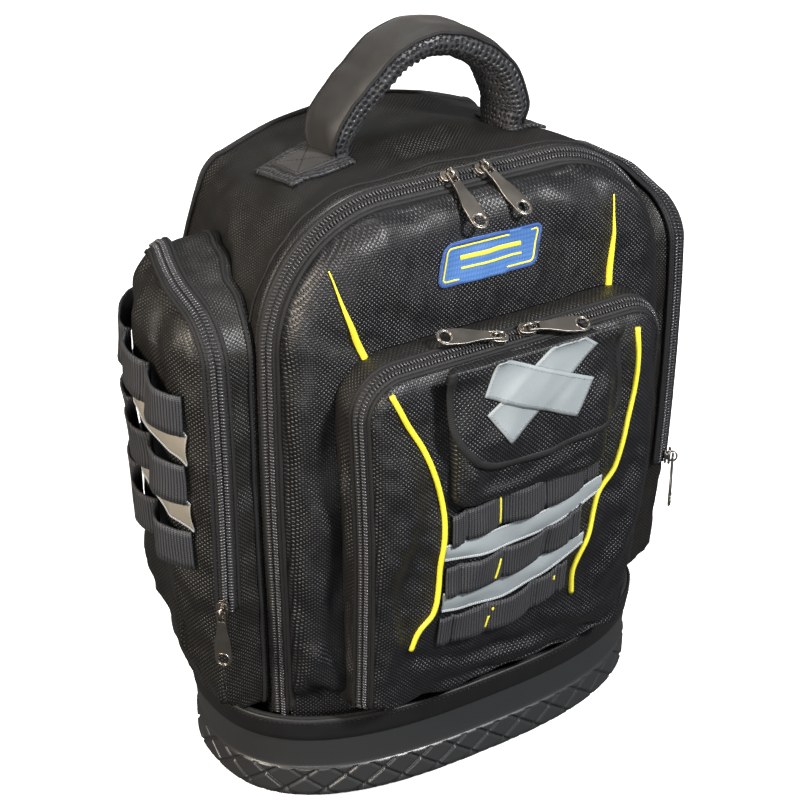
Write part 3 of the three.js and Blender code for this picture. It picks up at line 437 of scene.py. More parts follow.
def round_profile(radius: float, sides: int = 10, flatten: float = 1.0) -> Array:
    """Returns a round profile, with its height times flatten."""
    a = np.arange(sides) / sides * 2 * math.pi
    return np.stack([radius * np.cos(a), radius * flatten * np.sin(a)], -1)


def flat_profile(width: float, thickness: float, crown: float = 0.0, steps: int = 8) -> Array:
    """Returns a tape's profile: flat below, with soft edges and a crown on top.

    Args:
        width: Width in millimetres.
        thickness: Thickness in millimetres.
        crown: How far the middle rises.
        steps: Stretches across the top.

    Returns:
        The values or points, one for each place.
    """
    x = np.linspace(-width / 2, width / 2, steps + 1)
    edge = np.clip((width / 2 - np.abs(x)) / thickness, 0, 1) ** 0.5
    top = thickness * (0.35 + 0.65 * edge) + crown * (1 - (2 * x / width) ** 2)
    upper = np.stack([x[::-1], top[::-1]], -1)
    return np.concatenate([np.array([[-width / 2, 0.0], [width / 2, 0.0]]), upper])


def resampled(path: Array, normals: Array, step: float, offset: float = 0.0) -> tuple[Array, Array]:
    """Returns points at even steps along a path, with their normals.

    Args:
        path: Points in millimetres.
        normals: Up vector at each point.
        step: Distance between points.
        offset: Distance to the first point.

    Returns:
        The points and their normals.
    """
    far = lengths(path)
    at = np.arange(offset, far[-1], step)
    points = np.stack([np.interp(at, far, path[:, k]) for k in range(3)], -1)
    return points, unit(np.stack([np.interp(at, far, normals[:, k]) for k in range(3)], -1))


def bead(length: float, width: float, height: float, sides: int = 6, rings: int = 4) -> Shape:
    """Returns a small rounded bead, long across, for a tooth or a stitch.

    Args:
        length: Length in millimetres.
        width: Width in millimetres.
        height: Height in millimetres.
        sides: Points round it.
        rings: Rings along it.

    Returns:
        The closed mesh, in millimetres.
    """
    a = np.arange(sides) / sides * 2 * math.pi
    points, faces = [], []
    for i in range(rings):
        t = (i + 0.5) / rings * 2 - 1
        size = (1 - abs(t) ** 3.2) ** 0.5
        points.append(
            np.stack(
                [
                    width / 2 * size * np.cos(a),
                    np.full(sides, t * length / 2),
                    height / 2 * size * np.sin(a),
                ],
                -1,
            )
        )
    grid = np.concatenate(points + [np.array([[0, -length / 2, 0], [0, length / 2, 0]])])
    faces += cells(rings, sides, True)
    low, high = rings * sides, rings * sides + 1
    for j in range(sides):
        k = (j + 1) % sides
        faces.append([low, k, j])
        faces.append([high, (rings - 1) * sides + j, (rings - 1) * sides + k])
    return Shape(grid, faces, grid[:, :2])


def scattered(template: Shape, origins: Array, along: Array, side: Array, up: Array) -> Shape:
    """Repeats a small shape at many places.

    Args:
        template: The shape, in its own frame: x along, y to the side, z up.
        origins: Where each copy goes.
        along: Direction of each copy's x.
        side: Direction of each copy's y.
        up: Direction of each copy's z.

    Returns:
        All copies as one mesh of loose parts.
    """
    t = template.points
    points = (
        origins[:, None, :]
        + along[:, None, :] * t[None, :, 0, None]
        + side[:, None, :] * t[None, :, 1, None]
        + up[:, None, :] * t[None, :, 2, None]
    )
    n = len(t)
    faces = [[i + k * n for i in face] for k in range(len(origins)) for face in template.faces]
    return Shape(points.reshape(-1, 3), faces, np.tile(template.thread, (len(origins), 1)))


def stitches(
    path: Array, normals: Array, pitch: float = 3.2, length: float = 2.3, radius: float = 0.32
) -> Shape:
    """Returns a row of thread stitches that lie along a path.

    Args:
        path: Points in millimetres.
        normals: Up vector at each point.
        pitch: Distance from one to the next.
        length: Length in millimetres.
        radius: Radius in millimetres.

    Returns:
        The closed mesh, in millimetres.
    """
    points, ups = resampled(path, normals, pitch, pitch / 2)
    along, side, up = frames_along(points, ups, False)
    tooth = bead(length, radius * 2, radius * 1.6, 5, 2)
    return scattered(tooth, points + up * radius * 0.3, side, along, up)


class Side(Enum):
    """A side that pieces are laid on from, with the two plane axes and the way in."""

    FRONT = ((0, 2), 1, 1)
    BACK = ((0, 2), 1, -1)
    LEFT = ((1, 2), 0, 1)
    RIGHT = ((1, 2), 0, -1)
    TOP = ((0, 1), 2, -1)

    def outward(self) -> Array:
        """Returns the direction from the bag towards this side."""
        way = np.zeros(3)
        way[self.value[1]] = -self.value[2]
        return way


class Surface:
    """Dressed pieces that other pieces are laid on."""

    FAR: ClassVar[float] = 900.0

    def __init__(self, *shapes: Shape) -> None:
        """Builds the search tree from the shapes."""
        joined = Shape.joined(shapes)
        self.tree = BVHTree.FromPolygons([tuple(p) for p in joined.points], joined.faces)

    def lay(self, places: Array, side: Side, lift: float = 0.0) -> tuple[Array, Array]:
        """Lays places in a side's plane on the surface.

        Args:
            places: Pairs of plane coordinates, in millimetres, in any grid.
            side: The side to come from.
            lift: How far off the surface the points stay, along the way in.

        Returns:
            The points and the surface normals there. A place with nothing under it takes the mean depth.
        """
        (a, b), c, sign = side.value
        flat = places.reshape(-1, 2)
        way = -side.outward()
        depth = np.full(len(flat), np.nan)
        normals = np.tile(side.outward(), (len(flat), 1))
        for k, (u, v) in enumerate(flat):
            start = np.zeros(3)
            start[a], start[b], start[c] = u, v, -sign * self.FAR
            hit, normal, _, _ = self.tree.ray_cast(Vector(start), Vector(way))
            if hit is None:
                continue
            depth[k] = hit[c]
            n = np.array(normal)
            normals[k] = n if n @ way < 0 else -n
        depth = np.where(np.isnan(depth), np.nanmean(depth), depth)
        points = np.zeros((len(flat), 3))
        points[:, a], points[:, b], points[:, c] = flat[:, 0], flat[:, 1], depth
        points += side.outward() * lift
        shape = places.shape[:-1] + (3,)
        return points.reshape(shape), normals.reshape(shape)

    def drape(self, places: Array, side: Side, lift: float, stiff: int = 3) -> Array:
        """Lays a grid of places as stiff cloth that bridges narrow dips.

        Args:
            places: A grid of pairs of plane coordinates.
            side: The side to come from.
            lift: Clearance off the surface.
            stiff: Over how many points the cloth evens itself out.

        Returns:
            The grid of points.
        """
        points, _ = self.lay(places, side)
        axis, out = side.value[1], -side.value[2]
        height = points[..., axis] * out
        eased = height.copy()
        for _ in range(stiff):
            padded = np.pad(eased, 1, mode="edge")
            mean = (padded[:-2, 1:-1] + padded[2:, 1:-1] + padded[1:-1, :-2] + padded[1:-1, 2:]) / 4
            eased = np.maximum(height, mean)
        points[..., axis] = (eased + lift) * out
        return points


# Finishes


def linear(colour: str) -> tuple[float, float, float, float]:
    """Returns an sRGB hex colour as linear values.

    Args:
        colour: Its sRGB hex colour.

    Returns:
        The arrays, in that order.
    """
    parts = [int(colour[i : i + 2], 16) / 255 for i in (1, 3, 5)]
    values = [c / 12.92 if c <= 0.04045 else ((c + 0.055) / 1.055) ** 2.4 for c in parts]
    return (values[0], values[1], values[2], 1.0)


def add_node(
    tree: bpy.types.NodeTree, kind: str, inputs: dict | None = None, **settings: object
) -> bpy.types.Node:
    """Adds a node with its settings, values and links.

    Args:
        tree: The material's node tree.
        kind: The node's type.
        inputs: Value or output socket for each input, by name or index.
        settings: The node's own settings.

    Returns:
        The new node.
    """
    made = tree.nodes.new(kind)
    for name, value in settings.items():
        setattr(made, name, value)
    for key, value in (inputs or {}).items():
        if isinstance(value, bpy.types.NodeSocket):
            tree.links.new(value, made.inputs[key])
        else:
            made.inputs[key].default_value = value
    return made


@dataclass(frozen=True)
class Finish:
    """What a surface is made of. Subclasses draw their pattern.

    Attributes:
        name: The real material's common name.
        slot: The record's material slot; not used.
        base: Colour in the grooves of the pattern. In the weaves and the spacer mesh it is painted shade in the
            grooves and holes; in the plain finishes it is one tone of a random grain.
        light: Colour on the high parts of the pattern. In the weaves and the spacer mesh it is a painted
            highlight on the crowns; in the plain finishes it is the other tone of the grain.
        roughness: How matt it is.
        metallic: 1 for bare metal.
        sheen: How much soft fuzz shows at grazing angles.
        coat: Strength of a clear skin on top.
        pitch: Size of the pattern's cell, in millimetres.
        depth: Height of the pattern's relief, in millimetres.
    """

    name: str
    slot: str
    base: str
    light: str
    roughness: float = 0.6
    metallic: float = 0.0
    sheen: float = 0.0
    coat: float = 0.0
    pitch: float = 1.0
    depth: float = 0.2

    def material(self) -> bpy.types.Material:
        """Returns the material, made once."""
        known = bpy.data.materials.get(self.name)
        if known:
            return known
        made = bpy.data.materials.new(self.name)
        made.use_nodes = True
        tree = made.node_tree
        shader = tree.nodes["Principled BSDF"]
        shader.inputs["Metallic"].default_value = self.metallic
        shader.inputs["Sheen Weight"].default_value = self.sheen
        shader.inputs["Coat Weight"].default_value = self.coat
        height, rough = self.pattern(tree)
        # The pattern's height also picks the colour between base and light. In the weaves and the spacer mesh
        # this paints shade into the grooves and holes and highlights onto the crowns; in the plain finishes it is
        # a random grain.
        colour = add_node(
            tree, "ShaderNodeMix", {"Factor": height}, data_type="RGBA"
        )
        for key, value in (("A", linear(self.base)), ("B", linear(self.light))):
            next(s for s in colour.inputs if s.name == key and s.type == "RGBA").default_value = value
        mixed = next(s for s in colour.outputs if s.type == "RGBA")
        tree.links.new(mixed, shader.inputs["Base Color"])
        bump = add_node(
            tree, "ShaderNodeBump", {"Height": height, "Distance": self.depth * MM, "Strength": 1.0}
        )
        tree.links.new(bump.outputs["Normal"], shader.inputs["Normal"])
        spread = add_node(
            tree,
            "ShaderNodeMapRange",
            {"Value": rough, "To Min": self.roughness - 0.08, "To Max": self.roughness + 0.1},
        )
        tree.links.new(spread.outputs["Result"], shader.inputs["Roughness"])
        return made

    def wave(self, tree: bpy.types.NodeTree, along: str, pitch: float) -> bpy.types.NodeSocket:
        """Returns rounded ribs, 0 in the groove and 1 on the crest, along a thread axis.

        Args:
            tree: The material's node tree.
            along: The thread axis, X or Y.
            pitch: Distance from one to the next.

        Returns:
            The output socket.
        """
        thread = add_node(tree, "ShaderNodeUVMap", uv_map="thread")
        parts = add_node(tree, "ShaderNodeSeparateXYZ", {0: thread.outputs[0]})
        turn = add_node(
            tree,
            "ShaderNodeMath",
            {0: parts.outputs[along], 1: math.pi / (pitch * MM)},
            operation="MULTIPLY",
        )
        sine = add_node(tree, "ShaderNodeMath", {0: turn.outputs[0]}, operation="SINE")
        return add_node(tree, "ShaderNodeMath", {0: sine.outputs[0]}, operation="ABSOLUTE").outputs[0]

    def cloud(self, tree: bpy.types.NodeTree, size: float, detail: float = 3.0) -> bpy.types.NodeSocket:
        """Returns soft uneven patches of about the given size in millimetres.

        Args:
            tree: The material's node tree.
            size: Size in millimetres.
            detail: How many finer layers.

        Returns:
            The output socket.
        """
        place = add_node(tree, "ShaderNodeTexCoord")
        noise = add_node(
            tree,
            "ShaderNodeTexNoise",
            {"Vector": place.outputs["Object"], "Scale": 1 / (size * MM), "Detail": detail}
        )
        return noise.outputs["Fac"]

    def pattern(self, tree: bpy.types.NodeTree) -> tuple[bpy.types.NodeSocket, bpy.types.NodeSocket]:
        """Returns the pattern's height and the roughness variation: here a fine uneven grain."""
        grain = self.cloud(tree, self.pitch)
        return grain, self.cloud(tree, 14.0)


@dataclass(frozen=True)
class BasketWeave(Finish):
    """Ballistic nylon in a basket weave: the glints of its thick smooth threads are painted into the colour as
    light dots in a checker, with painted shade in the grooves.
    """

    def pattern(self, tree: bpy.types.NodeTree) -> tuple[bpy.types.NodeSocket, bpy.types.NodeSocket]:
        """Returns painted highlights on the thread crowns in a checker, dimmer in soft patches.

        Args:
            tree: The material's node tree.

        Returns:
            The height socket and the roughness socket.
        """
        across = self.wave(tree, "X", self.pitch)
        up = self.wave(tree, "Y", self.pitch)
        crown = add_node(tree, "ShaderNodeMath", {0: across, 1: up}, operation="MULTIPLY")
        thread = add_node(tree, "ShaderNodeUVMap", uv_map="thread")
        # The checker dims every other block. This is painted glint, bright where the crown threads run one way
        # and dim where they run the other.
        checker = add_node(
            tree,
            "ShaderNodeTexChecker",
            {
                "Vector": thread.outputs[0],
                "Color1": (1, 1, 1, 1),
                "Color2": (0.22, 0.22, 0.22, 1),
                "Scale": 1 / (self.pitch * MM),
            },
        )
        dots = add_node(
            tree, "ShaderNodeMath", {0: crown.outputs[0], 1: checker.outputs["Color"]}, operation="MULTIPLY"
        )
        # Soft patches where the painted glints and the bumps are weaker; the same cloud also varies the
        # roughness.
        relief_fade = self.cloud(tree, 9.0, 4.0)
        spread = add_node(
            tree,
            "ShaderNodeMapRange",
            {"Value": relief_fade, "From Min": 0.3, "From Max": 0.7, "To Min": 0.65, "To Max": 1.0},
        )
        height = add_node(
            tree, "ShaderNodeMath", {0: dots.outputs[0], 1: spread.outputs["Result"]}, operation="MULTIPLY"
        )
        return height.outputs[0], relief_fade


@dataclass(frozen=True)
class RibWeave(Finish):
    """Webbing or binding tape: ribs across it, broken by the threads that run along. The rib crests carry a
    painted highlight and the grooves painted shade.
    """

    along: float = 1.4

    def pattern(self, tree: bpy.types.NodeTree) -> tuple[bpy.types.NodeSocket, bpy.types.NodeSocket]:
        """Returns ribs with small thread dots, which also set the painted highlight and shade.

        Args:
            tree: The material's node tree.

        Returns:
            The height socket and the roughness socket.
        """
        ribs = self.wave(tree, "X", self.pitch)
        threads = self.wave(tree, "Y", self.along)
        eased = add_node(tree, "ShaderNodeMapRange", {"Value": threads, "To Min": 0.45, "To Max": 1.0})
        # The ribs' height sets the colour too: painted highlight on the crests, painted shade in the grooves.
        height = add_node(
            tree, "ShaderNodeMath", {0: ribs, 1: eased.outputs["Result"]}, operation="MULTIPLY"
        )
        return height.outputs[0], self.cloud(tree, 6.0)


@dataclass(frozen=True)
class HoleMesh(Finish):
    """Spacer mesh: a knit with rows of holes between shiny strands. The holes are painted dark as shade and the
    strands lighter as painted sheen.
    """

    def pattern(self, tree: bpy.types.NodeTree) -> tuple[bpy.types.NodeSocket, bpy.types.NodeSocket]:
        """Returns strands, with painted shade where the holes are.

        Args:
            tree: The material's node tree.

        Returns:
            The height socket and the roughness socket.
        """
        thread = add_node(tree, "ShaderNodeUVMap", uv_map="thread")
        sized = add_node(
            tree,
            "ShaderNodeVectorMath",
            {0: thread.outputs[0], "Scale": 1 / (self.pitch * MM)},
            operation="SCALE",
        )
        holes = add_node(
            tree, "ShaderNodeTexVoronoi", {"Vector": sized.outputs[0], "Scale": 1.0, "Randomness": 0.3}
        )
        height = add_node(
            tree,
            "ShaderNodeMapRange",
            {"Value": holes.outputs["Distance"], "From Min": 0.26, "From Max": 0.52}
        )
        return height.outputs["Result"], self.cloud(tree, 4.0)


class Cloths:
    """Every finish on the bag."""

    # 1680D nylon threads are about 0.6 mm wide; drawn at 1.5 mm, which is as fine as shows at this size
    # Its light colour is painted glint on the thread crowns of the near-black cloth, and its base colour is
    # painted shade in the grooves.
    pack = BasketWeave(
        "nylon_1680d_basket_weave", "pack_cloth", "#020203", "#36373b", 0.4, pitch=1.5, depth=0.5
    )
    # The same weave with a warmer light colour: painted warm lamp light on the sides and gussets of the bag,
    # where this copy is used
    gusset = BasketWeave(
        "nylon_1680d_gusset_painted_warm_light", "pack_cloth", "#040404", "#3a3834", 0.42, pitch=1.5, depth=0.45
    )
    # The small pocket's cloth has slightly coarser dots, with brighter painted glints on them
    flap = BasketWeave("nylon_1680d_flap", "flap_cloth", "#020203", "#3c3d41", 0.4, pitch=1.6, depth=0.5)
    # Grosgrain ribs are 0.9 mm apart; drawn at 1.3 mm, dull, so that edges read darker than the cloth
    binding = RibWeave(
        "polyester_grosgrain_binding", "pack_cloth", "#030304", "#131315", 0.75, pitch=1.3, depth=0.15
    )
    # Woven zip tape: fine dull ribs beside the glossy coil
    tape = RibWeave(
        "polyester_zip_tape", "zip_coil", "#030304", "#19191b", 0.65, sheen=0.03, pitch=0.9, depth=0.12
    )
    # Moulded nylon coil: black and glossy. Its colour is lifted to grey as painted glint on the turns, and each
    # turn also carries a small real highlight
    coil = Finish("moulded_nylon_coil_painted_glint", "zip_coil", "#2a2a2c", "#48484b", 0.26, pitch=0.6, depth=0.02)
    # Webbing ribs are about 2 mm apart: broad enough to show as stripes of painted highlight on the rib crests
    webbing = RibWeave(
        "polypropylene_webbing", "webbing", "#040405", "#3e3f43", 0.5, sheen=0.03, pitch=2.0, depth=0.4
    )
    # Glass-bead film: flat light grey with a fine grain, matt from the side
    film = Finish(
        "glass_bead_reflective_film", "reflective_film", "#7f8689", "#92999c", 0.55, pitch=0.7, depth=0.03
    )
    # The sewn edge of the film: a paler ribbed line round each strip
    film_edge = RibWeave(
        "reflective_tape_edge", "reflective_film", "#787d80", "#b4b9bb", 0.55, pitch=1.6, depth=0.12
    )
    # Film on the side pocket: a copy of the film with painted warm, dimmer light on the side
    side_film = Finish(
        "glass_bead_film_side_painted_warm_light", "reflective_film", "#7d786e", "#948f84", 0.55, pitch=0.7, depth=0.03
    )
    # PVC piping: smooth saturated yellow with a soft shine
    piping = Finish("pvc_piping", "piping", "#e2d62e", "#f2e84a", 0.42, pitch=3.0, depth=0.03)
    # Bonded thread: yellow, fine and half matt
    thread = Finish("bonded_polyester_thread", "piping", "#c9c02a", "#efe64e", 0.55, pitch=0.5, depth=0.05)
    # Black sewing thread: small dark dots with a faint light on each
    dark_thread = Finish(
        "black_sewing_thread", "pack_cloth", "#08080a", "#1a1a1d", 0.5, pitch=0.5, depth=0.04
    )
    # Twill filled with embroidery: blue satin lines 1.1 mm apart
    label = RibWeave(
        "embroidered_twill", "label", "#284f8c", "#4d79b2", 0.6, sheen=0.1, pitch=1.1, depth=0.12, along=3.0
    )
    # Its raised border in darker blue thread
    label_edge = RibWeave(
        "embroidery_thread_blue", "label", "#1b3a78", "#35599c", 0.5, sheen=0.1, pitch=0.9, depth=0.2
    )
    # Moulded rubber: fine grain, satin, with a soft wide highlight
    rubber = Finish("moulded_rubber", "rubber_boot", "#292a2b", "#323334", 0.34, pitch=0.8, depth=0.025)
    # The collar above it: more matt, and its darker colour is painted shade on the boot's upper band
    collar = Finish("matt_rubber_collar_painted_shade", "rubber_boot", "#0d0d0e", "#151516", 0.5, pitch=0.7, depth=0.04)
    # Nickel-plated die-cast zinc: warm grey mirror softened by wear
    nickel = Finish("nickel_plated_zinc", "zip_metal", "#8d8780", "#a39d95", 0.3, 1.0, pitch=5.0, depth=0.02)
    # Spacer mesh: holes nearly 4 mm apart between shiny strands. The holes are painted dark as shade and the
    # strands lighter as painted sheen.
    mesh = HoleMesh(
        "polyester_spacer_mesh", "spacer_mesh", "#010101", "#2e2f33", 0.45, sheen=0.05, pitch=3.9, depth=0.8
    )
    # Close plain nylon on the handle: warm dark grey with a little fuzz
    handle = RibWeave(
        "handle_nylon",
        "handle_cloth",
        "#121110",
        "#2a2826",
        0.55,
        sheen=0.1,
        pitch=0.8,
        depth=0.06,
        along=0.8,
    )
    # Moulded acetal: near black and satin
    acetal = Finish("moulded_acetal", "buckle_plastic", "#0c0c0d", "#151516", 0.35, pitch=1.0, depth=0.02)


class Bench:
    """Turns shapes into pieces on their bodies and keeps them for the log."""

    def __init__(self) -> None:
        """Starts with no pieces."""
        self.pieces: list[bpy.types.Object] = []

    def add(
        self,
        name: str,
        shape: Shape,
        finish: Finish,
        body: str = "bag",
        replaces: Sequence[str] = (),
        flat: bool = False,
    ) -> bpy.types.Object:
        """Makes a piece from a shape.

        Args:
            name: The piece's name.
            shape: Its mesh in millimetres.
            finish: What it is made of.
            body: The body that it rides on.
            replaces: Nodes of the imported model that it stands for.
            flat: Whether its faces stay flat shaded.

        Returns:
            The piece.
        """
        mesh = bpy.data.meshes.new(name)
        mesh.from_pydata((shape.points * MM).tolist(), [], shape.faces)
        layer = mesh.uv_layers.new(name="thread")
        index = np.zeros(len(mesh.loops), dtype=np.int64)
        mesh.loops.foreach_get("vertex_index", index)
        layer.data.foreach_set("uv", (shape.thread[index] * MM).astype(np.float32).ravel())
        mesh.polygons.foreach_set("use_smooth", np.full(len(mesh.polygons), not flat))
        mesh.materials.append(finish.material())
        mesh.update()
        made = bpy.data.objects.new(name, mesh)
        bpy.context.scene.collection.objects.link(made)
        return self.keep(made, body, replaces)

    def keep(
        self, made: bpy.types.Object, body: str = "bag", replaces: Sequence[str] = ()
    ) -> bpy.types.Object:
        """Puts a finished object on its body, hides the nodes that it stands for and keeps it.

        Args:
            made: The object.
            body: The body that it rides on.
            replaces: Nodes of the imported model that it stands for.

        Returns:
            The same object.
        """
        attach(made, body)
        if replaces:
            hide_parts(*replaces)
        self.pieces.append(made)
        return made


# Forms of the bag


# Points in each stretch of half an outline: foot, foot corner, side, top corner and top
FOOT_STEPS, BEND_STEPS, SIDE_STEPS, TURN_STEPS, TOP_STEPS = 16, 8, 64, 30, 27


def arch(
    half: float, half_foot: float, foot: float, top: float, corner: float, low: float, crown: float = 0.0
) -> Array:
    """Returns a closed outline from the middle of the foot, up the right side and down the left.

    Args:
        half: Half width at the top.
        half_foot: Half width at the foot.
        foot: Height of the foot.
        top: Height of the top.
        corner: Round of the top corners.
        low: Round of the foot's corners.
        crown: How far the top rises in its middle.
    """
    foot_x = np.linspace(0, half_foot - low, FOOT_STEPS, endpoint=False)
    bend = np.linspace(-math.pi / 2, 0, BEND_STEPS, endpoint=False)
    side_z = np.linspace(foot + low, top - corner, SIDE_STEPS, endpoint=False)
    side_x = mix(half_foot, half, (side_z - foot - low) / (top - corner - foot - low))
    turn = np.linspace(0, math.pi / 2, TURN_STEPS, endpoint=False)
    top_x = np.linspace(half - corner, 0, TOP_STEPS)
    right = np.concatenate(
        [
            np.stack([foot_x, np.full(FOOT_STEPS, foot)], -1),
            np.stack([half_foot - low + low * np.cos(bend), foot + low + low * np.sin(bend)], -1),
            np.stack([side_x, side_z], -1),
            np.stack([half - corner + corner * np.cos(turn), top - corner + corner * np.sin(turn)], -1),
            np.stack([top_x, top + crown * (1 - (top_x / (half - corner)) ** 2)], -1),
        ]
    )
    left = right[1:-1][::-1] * np.array([-1, 1])
    return np.concatenate([right, left])


def zip_y(z: Array) -> Array:
    """Returns the main zip's place in depth at a height."""
    return -BAG.zip_forward * curve_through(ZIP_PLANE, z / BAG.body_height)


def rear_y(z: Array) -> Array:
    """Returns the back's place in depth at a height."""
    return BAG.rear_back * curve_through(REAR_BACK, z / BAG.body_height)


def pocket_y(z: Array) -> Array:
    """Returns the front pocket zip's place in depth at a height."""
    return -BAG.pocket_forward * curve_through(POCKET_PLANE, z / BAG.pocket_height)


def tuck(p: Array, inset: float | Array, seam: float, swell: float) -> Array:
    """Keeps cloth inside the boot near its foot, and lets it swell above.

    Args:
        p: Points in millimetres.
        inset: Distance or share in from the outline.
        seam: Height above which the cloth may swell.
        swell: How far it may swell, as a share.

    Returns:
        The values or points, one for each place.
    """
    rounding = 9 * (1 - smooth(0, 18, p[..., 2] - BAG.boot_floor))
    a = BAG.boot_half_width - inset - rounding
    b = BAG.boot_half_depth - inset - rounding
    power = np.where(p[..., 1] > 0, BAG.boot_rear_power, BAG.boot_front_power)
    reach = ((np.abs(p[..., 0]) / a) ** power + (np.abs(p[..., 1]) / b) ** power) ** (1 / power)
    limit = 1 + swell * smooth(0, 1, (p[..., 2] - seam) / BAG.boot_height)
    scale = np.where(reach > limit, limit / np.maximum(reach, 1e-9), 1.0)
    return np.stack([p[..., 0] * scale, p[..., 1] * scale, p[..., 2]], -1)


def body_ring(t: float, inset: float, back: float) -> Array:
    """Returns a ring of the body, t of the way from the zip to the rear edge.

    Args:
        t: Share of the way back, 0 at the zip.
        inset: Distance or share in from the outline.
        back: How far the front ring moves back.

    Returns:
        The values or points, one for each place.
    """

    def ring_at(s: float) -> Array:
        """Returns the ring whose outline is a share s of the way to the rear one.

        Args:
            s: Share of the way to the rear ring.

        Returns:
            The values or points, one for each place.
        """
        outline = arch(
            BAG.body_half_width - inset,
            BAG.body_half_width - inset,
            BAG.boot_floor + BAG.gap * 2,
            BAG.body_height - inset - BAG.rear_crown * s,
            mix(BAG.shoulder_round, BAG.rear_corner_round, s) - inset * 0.5,
            BAG.foot_round,
            BAG.rear_crown * s,
        )
        x, z = outline.T
        share = z / BAG.body_height
        narrow = mix(curve_through(BODY_SIDE, share), curve_through(REAR_WIDTH, share), s)
        return stack(x * narrow, mix(zip_y(z) + back, rear_y(z), s), z)

    curved, front, rear = ring_at(t), ring_at(0), ring_at(1)
    weight = smooth(0.5, 0.8, curved[:, 2] / BAG.body_height)[:, None]
    return tuck(mix(curved, mix(front, rear, t), weight), BAG.inner_inset, BAG.body_seam, 0.8)


def ring_thread(grid: Array) -> Array:
    """Returns thread coordinates of a grid of rings: along each ring from its top, and across the rows.

    Args:
        grid: Rows of points in millimetres.

    Returns:
        The values or points, one for each place.
    """
    along = np.stack([lengths(row) for row in grid])
    along = along - along[:, grid.shape[1] // 2][:, None]
    steps = np.linalg.norm(np.diff(grid, axis=0), axis=2).mean(axis=1)
    across = np.concatenate([[0], np.cumsum(steps)])
    return np.stack(np.broadcast_arrays(along, across[:, None]), -1).astype(float)


def above(path: Array, normals: Array, height: float) -> tuple[Array, Array]:
    """Returns the run of a ring that lies above a height.

    Args:
        path: Points in millimetres.
        normals: Up vector at each point.
        height: Height in millimetres.

    Returns:
        The points and their normals.
    """
    chosen = path[:, 2] > height
    first = int(np.argmax(chosen))
    last = len(chosen) - int(np.argmax(chosen[::-1]))
    return path[first:last], normals[first:last]


@dataclass
class ZipRun:
    """A zip along a path: tape, two rows of coil and the sewing beside it."""

    name: str
    path: Array
    normals: Array
    width: float
    replaces: tuple[str, ...] = ()
    pitch: float = 2.3
    tooth_length: float = 4.1
    tooth_height: float = 2.4
    tape_thickness: float = 1.1

    def build(self, bench: Bench) -> Shape:
        """Adds the tape, the coil and the stitches, and returns the tape.

        Args:
            bench: Where the pieces are made.

        Returns:
            The closed mesh, in millimetres.
        """
        tape = sweep(self.path, self.normals, flat_profile(self.width, self.tape_thickness))
        bench.add(f"{self.name}_tape", tape, Cloths.tape, replaces=self.replaces)
        tooth = bead(self.tooth_length, self.pitch * 0.6, self.tooth_height, 6, 3)
        rows = []
        for sign in (-1, 1):
            points, ups = resampled(
                self.path, self.normals, self.pitch, self.pitch * (0.5 if sign > 0 else 1.0)
            )
            along, side, up = frames_along(points, ups, False)
            lean = unit(side + along * 0.22 * sign)
            origins = points + side * sign * self.tooth_length * 0.52 + up * (
                self.tape_thickness + self.tooth_height * 0.28
            )
            rows.append(scattered(tooth, origins, unit(np.cross(lean, up)), lean, up))
        bench.add(f"{self.name}_coil", Shape.joined(rows), Cloths.coil)
        sewn = []
        for sign in (-1, 1):
            _, side, up = frames_along(self.path, self.normals, False)
            line = self.path + side * sign * (self.width / 2 - 0.9) + up * (self.tape_thickness * 0.8)
            sewn.append(stitches(line, self.normals, 2.8, 2.0, 0.25))
        bench.add(f"{self.name}_stitches", Shape.joined(sewn), Cloths.dark_thread)
        return tape


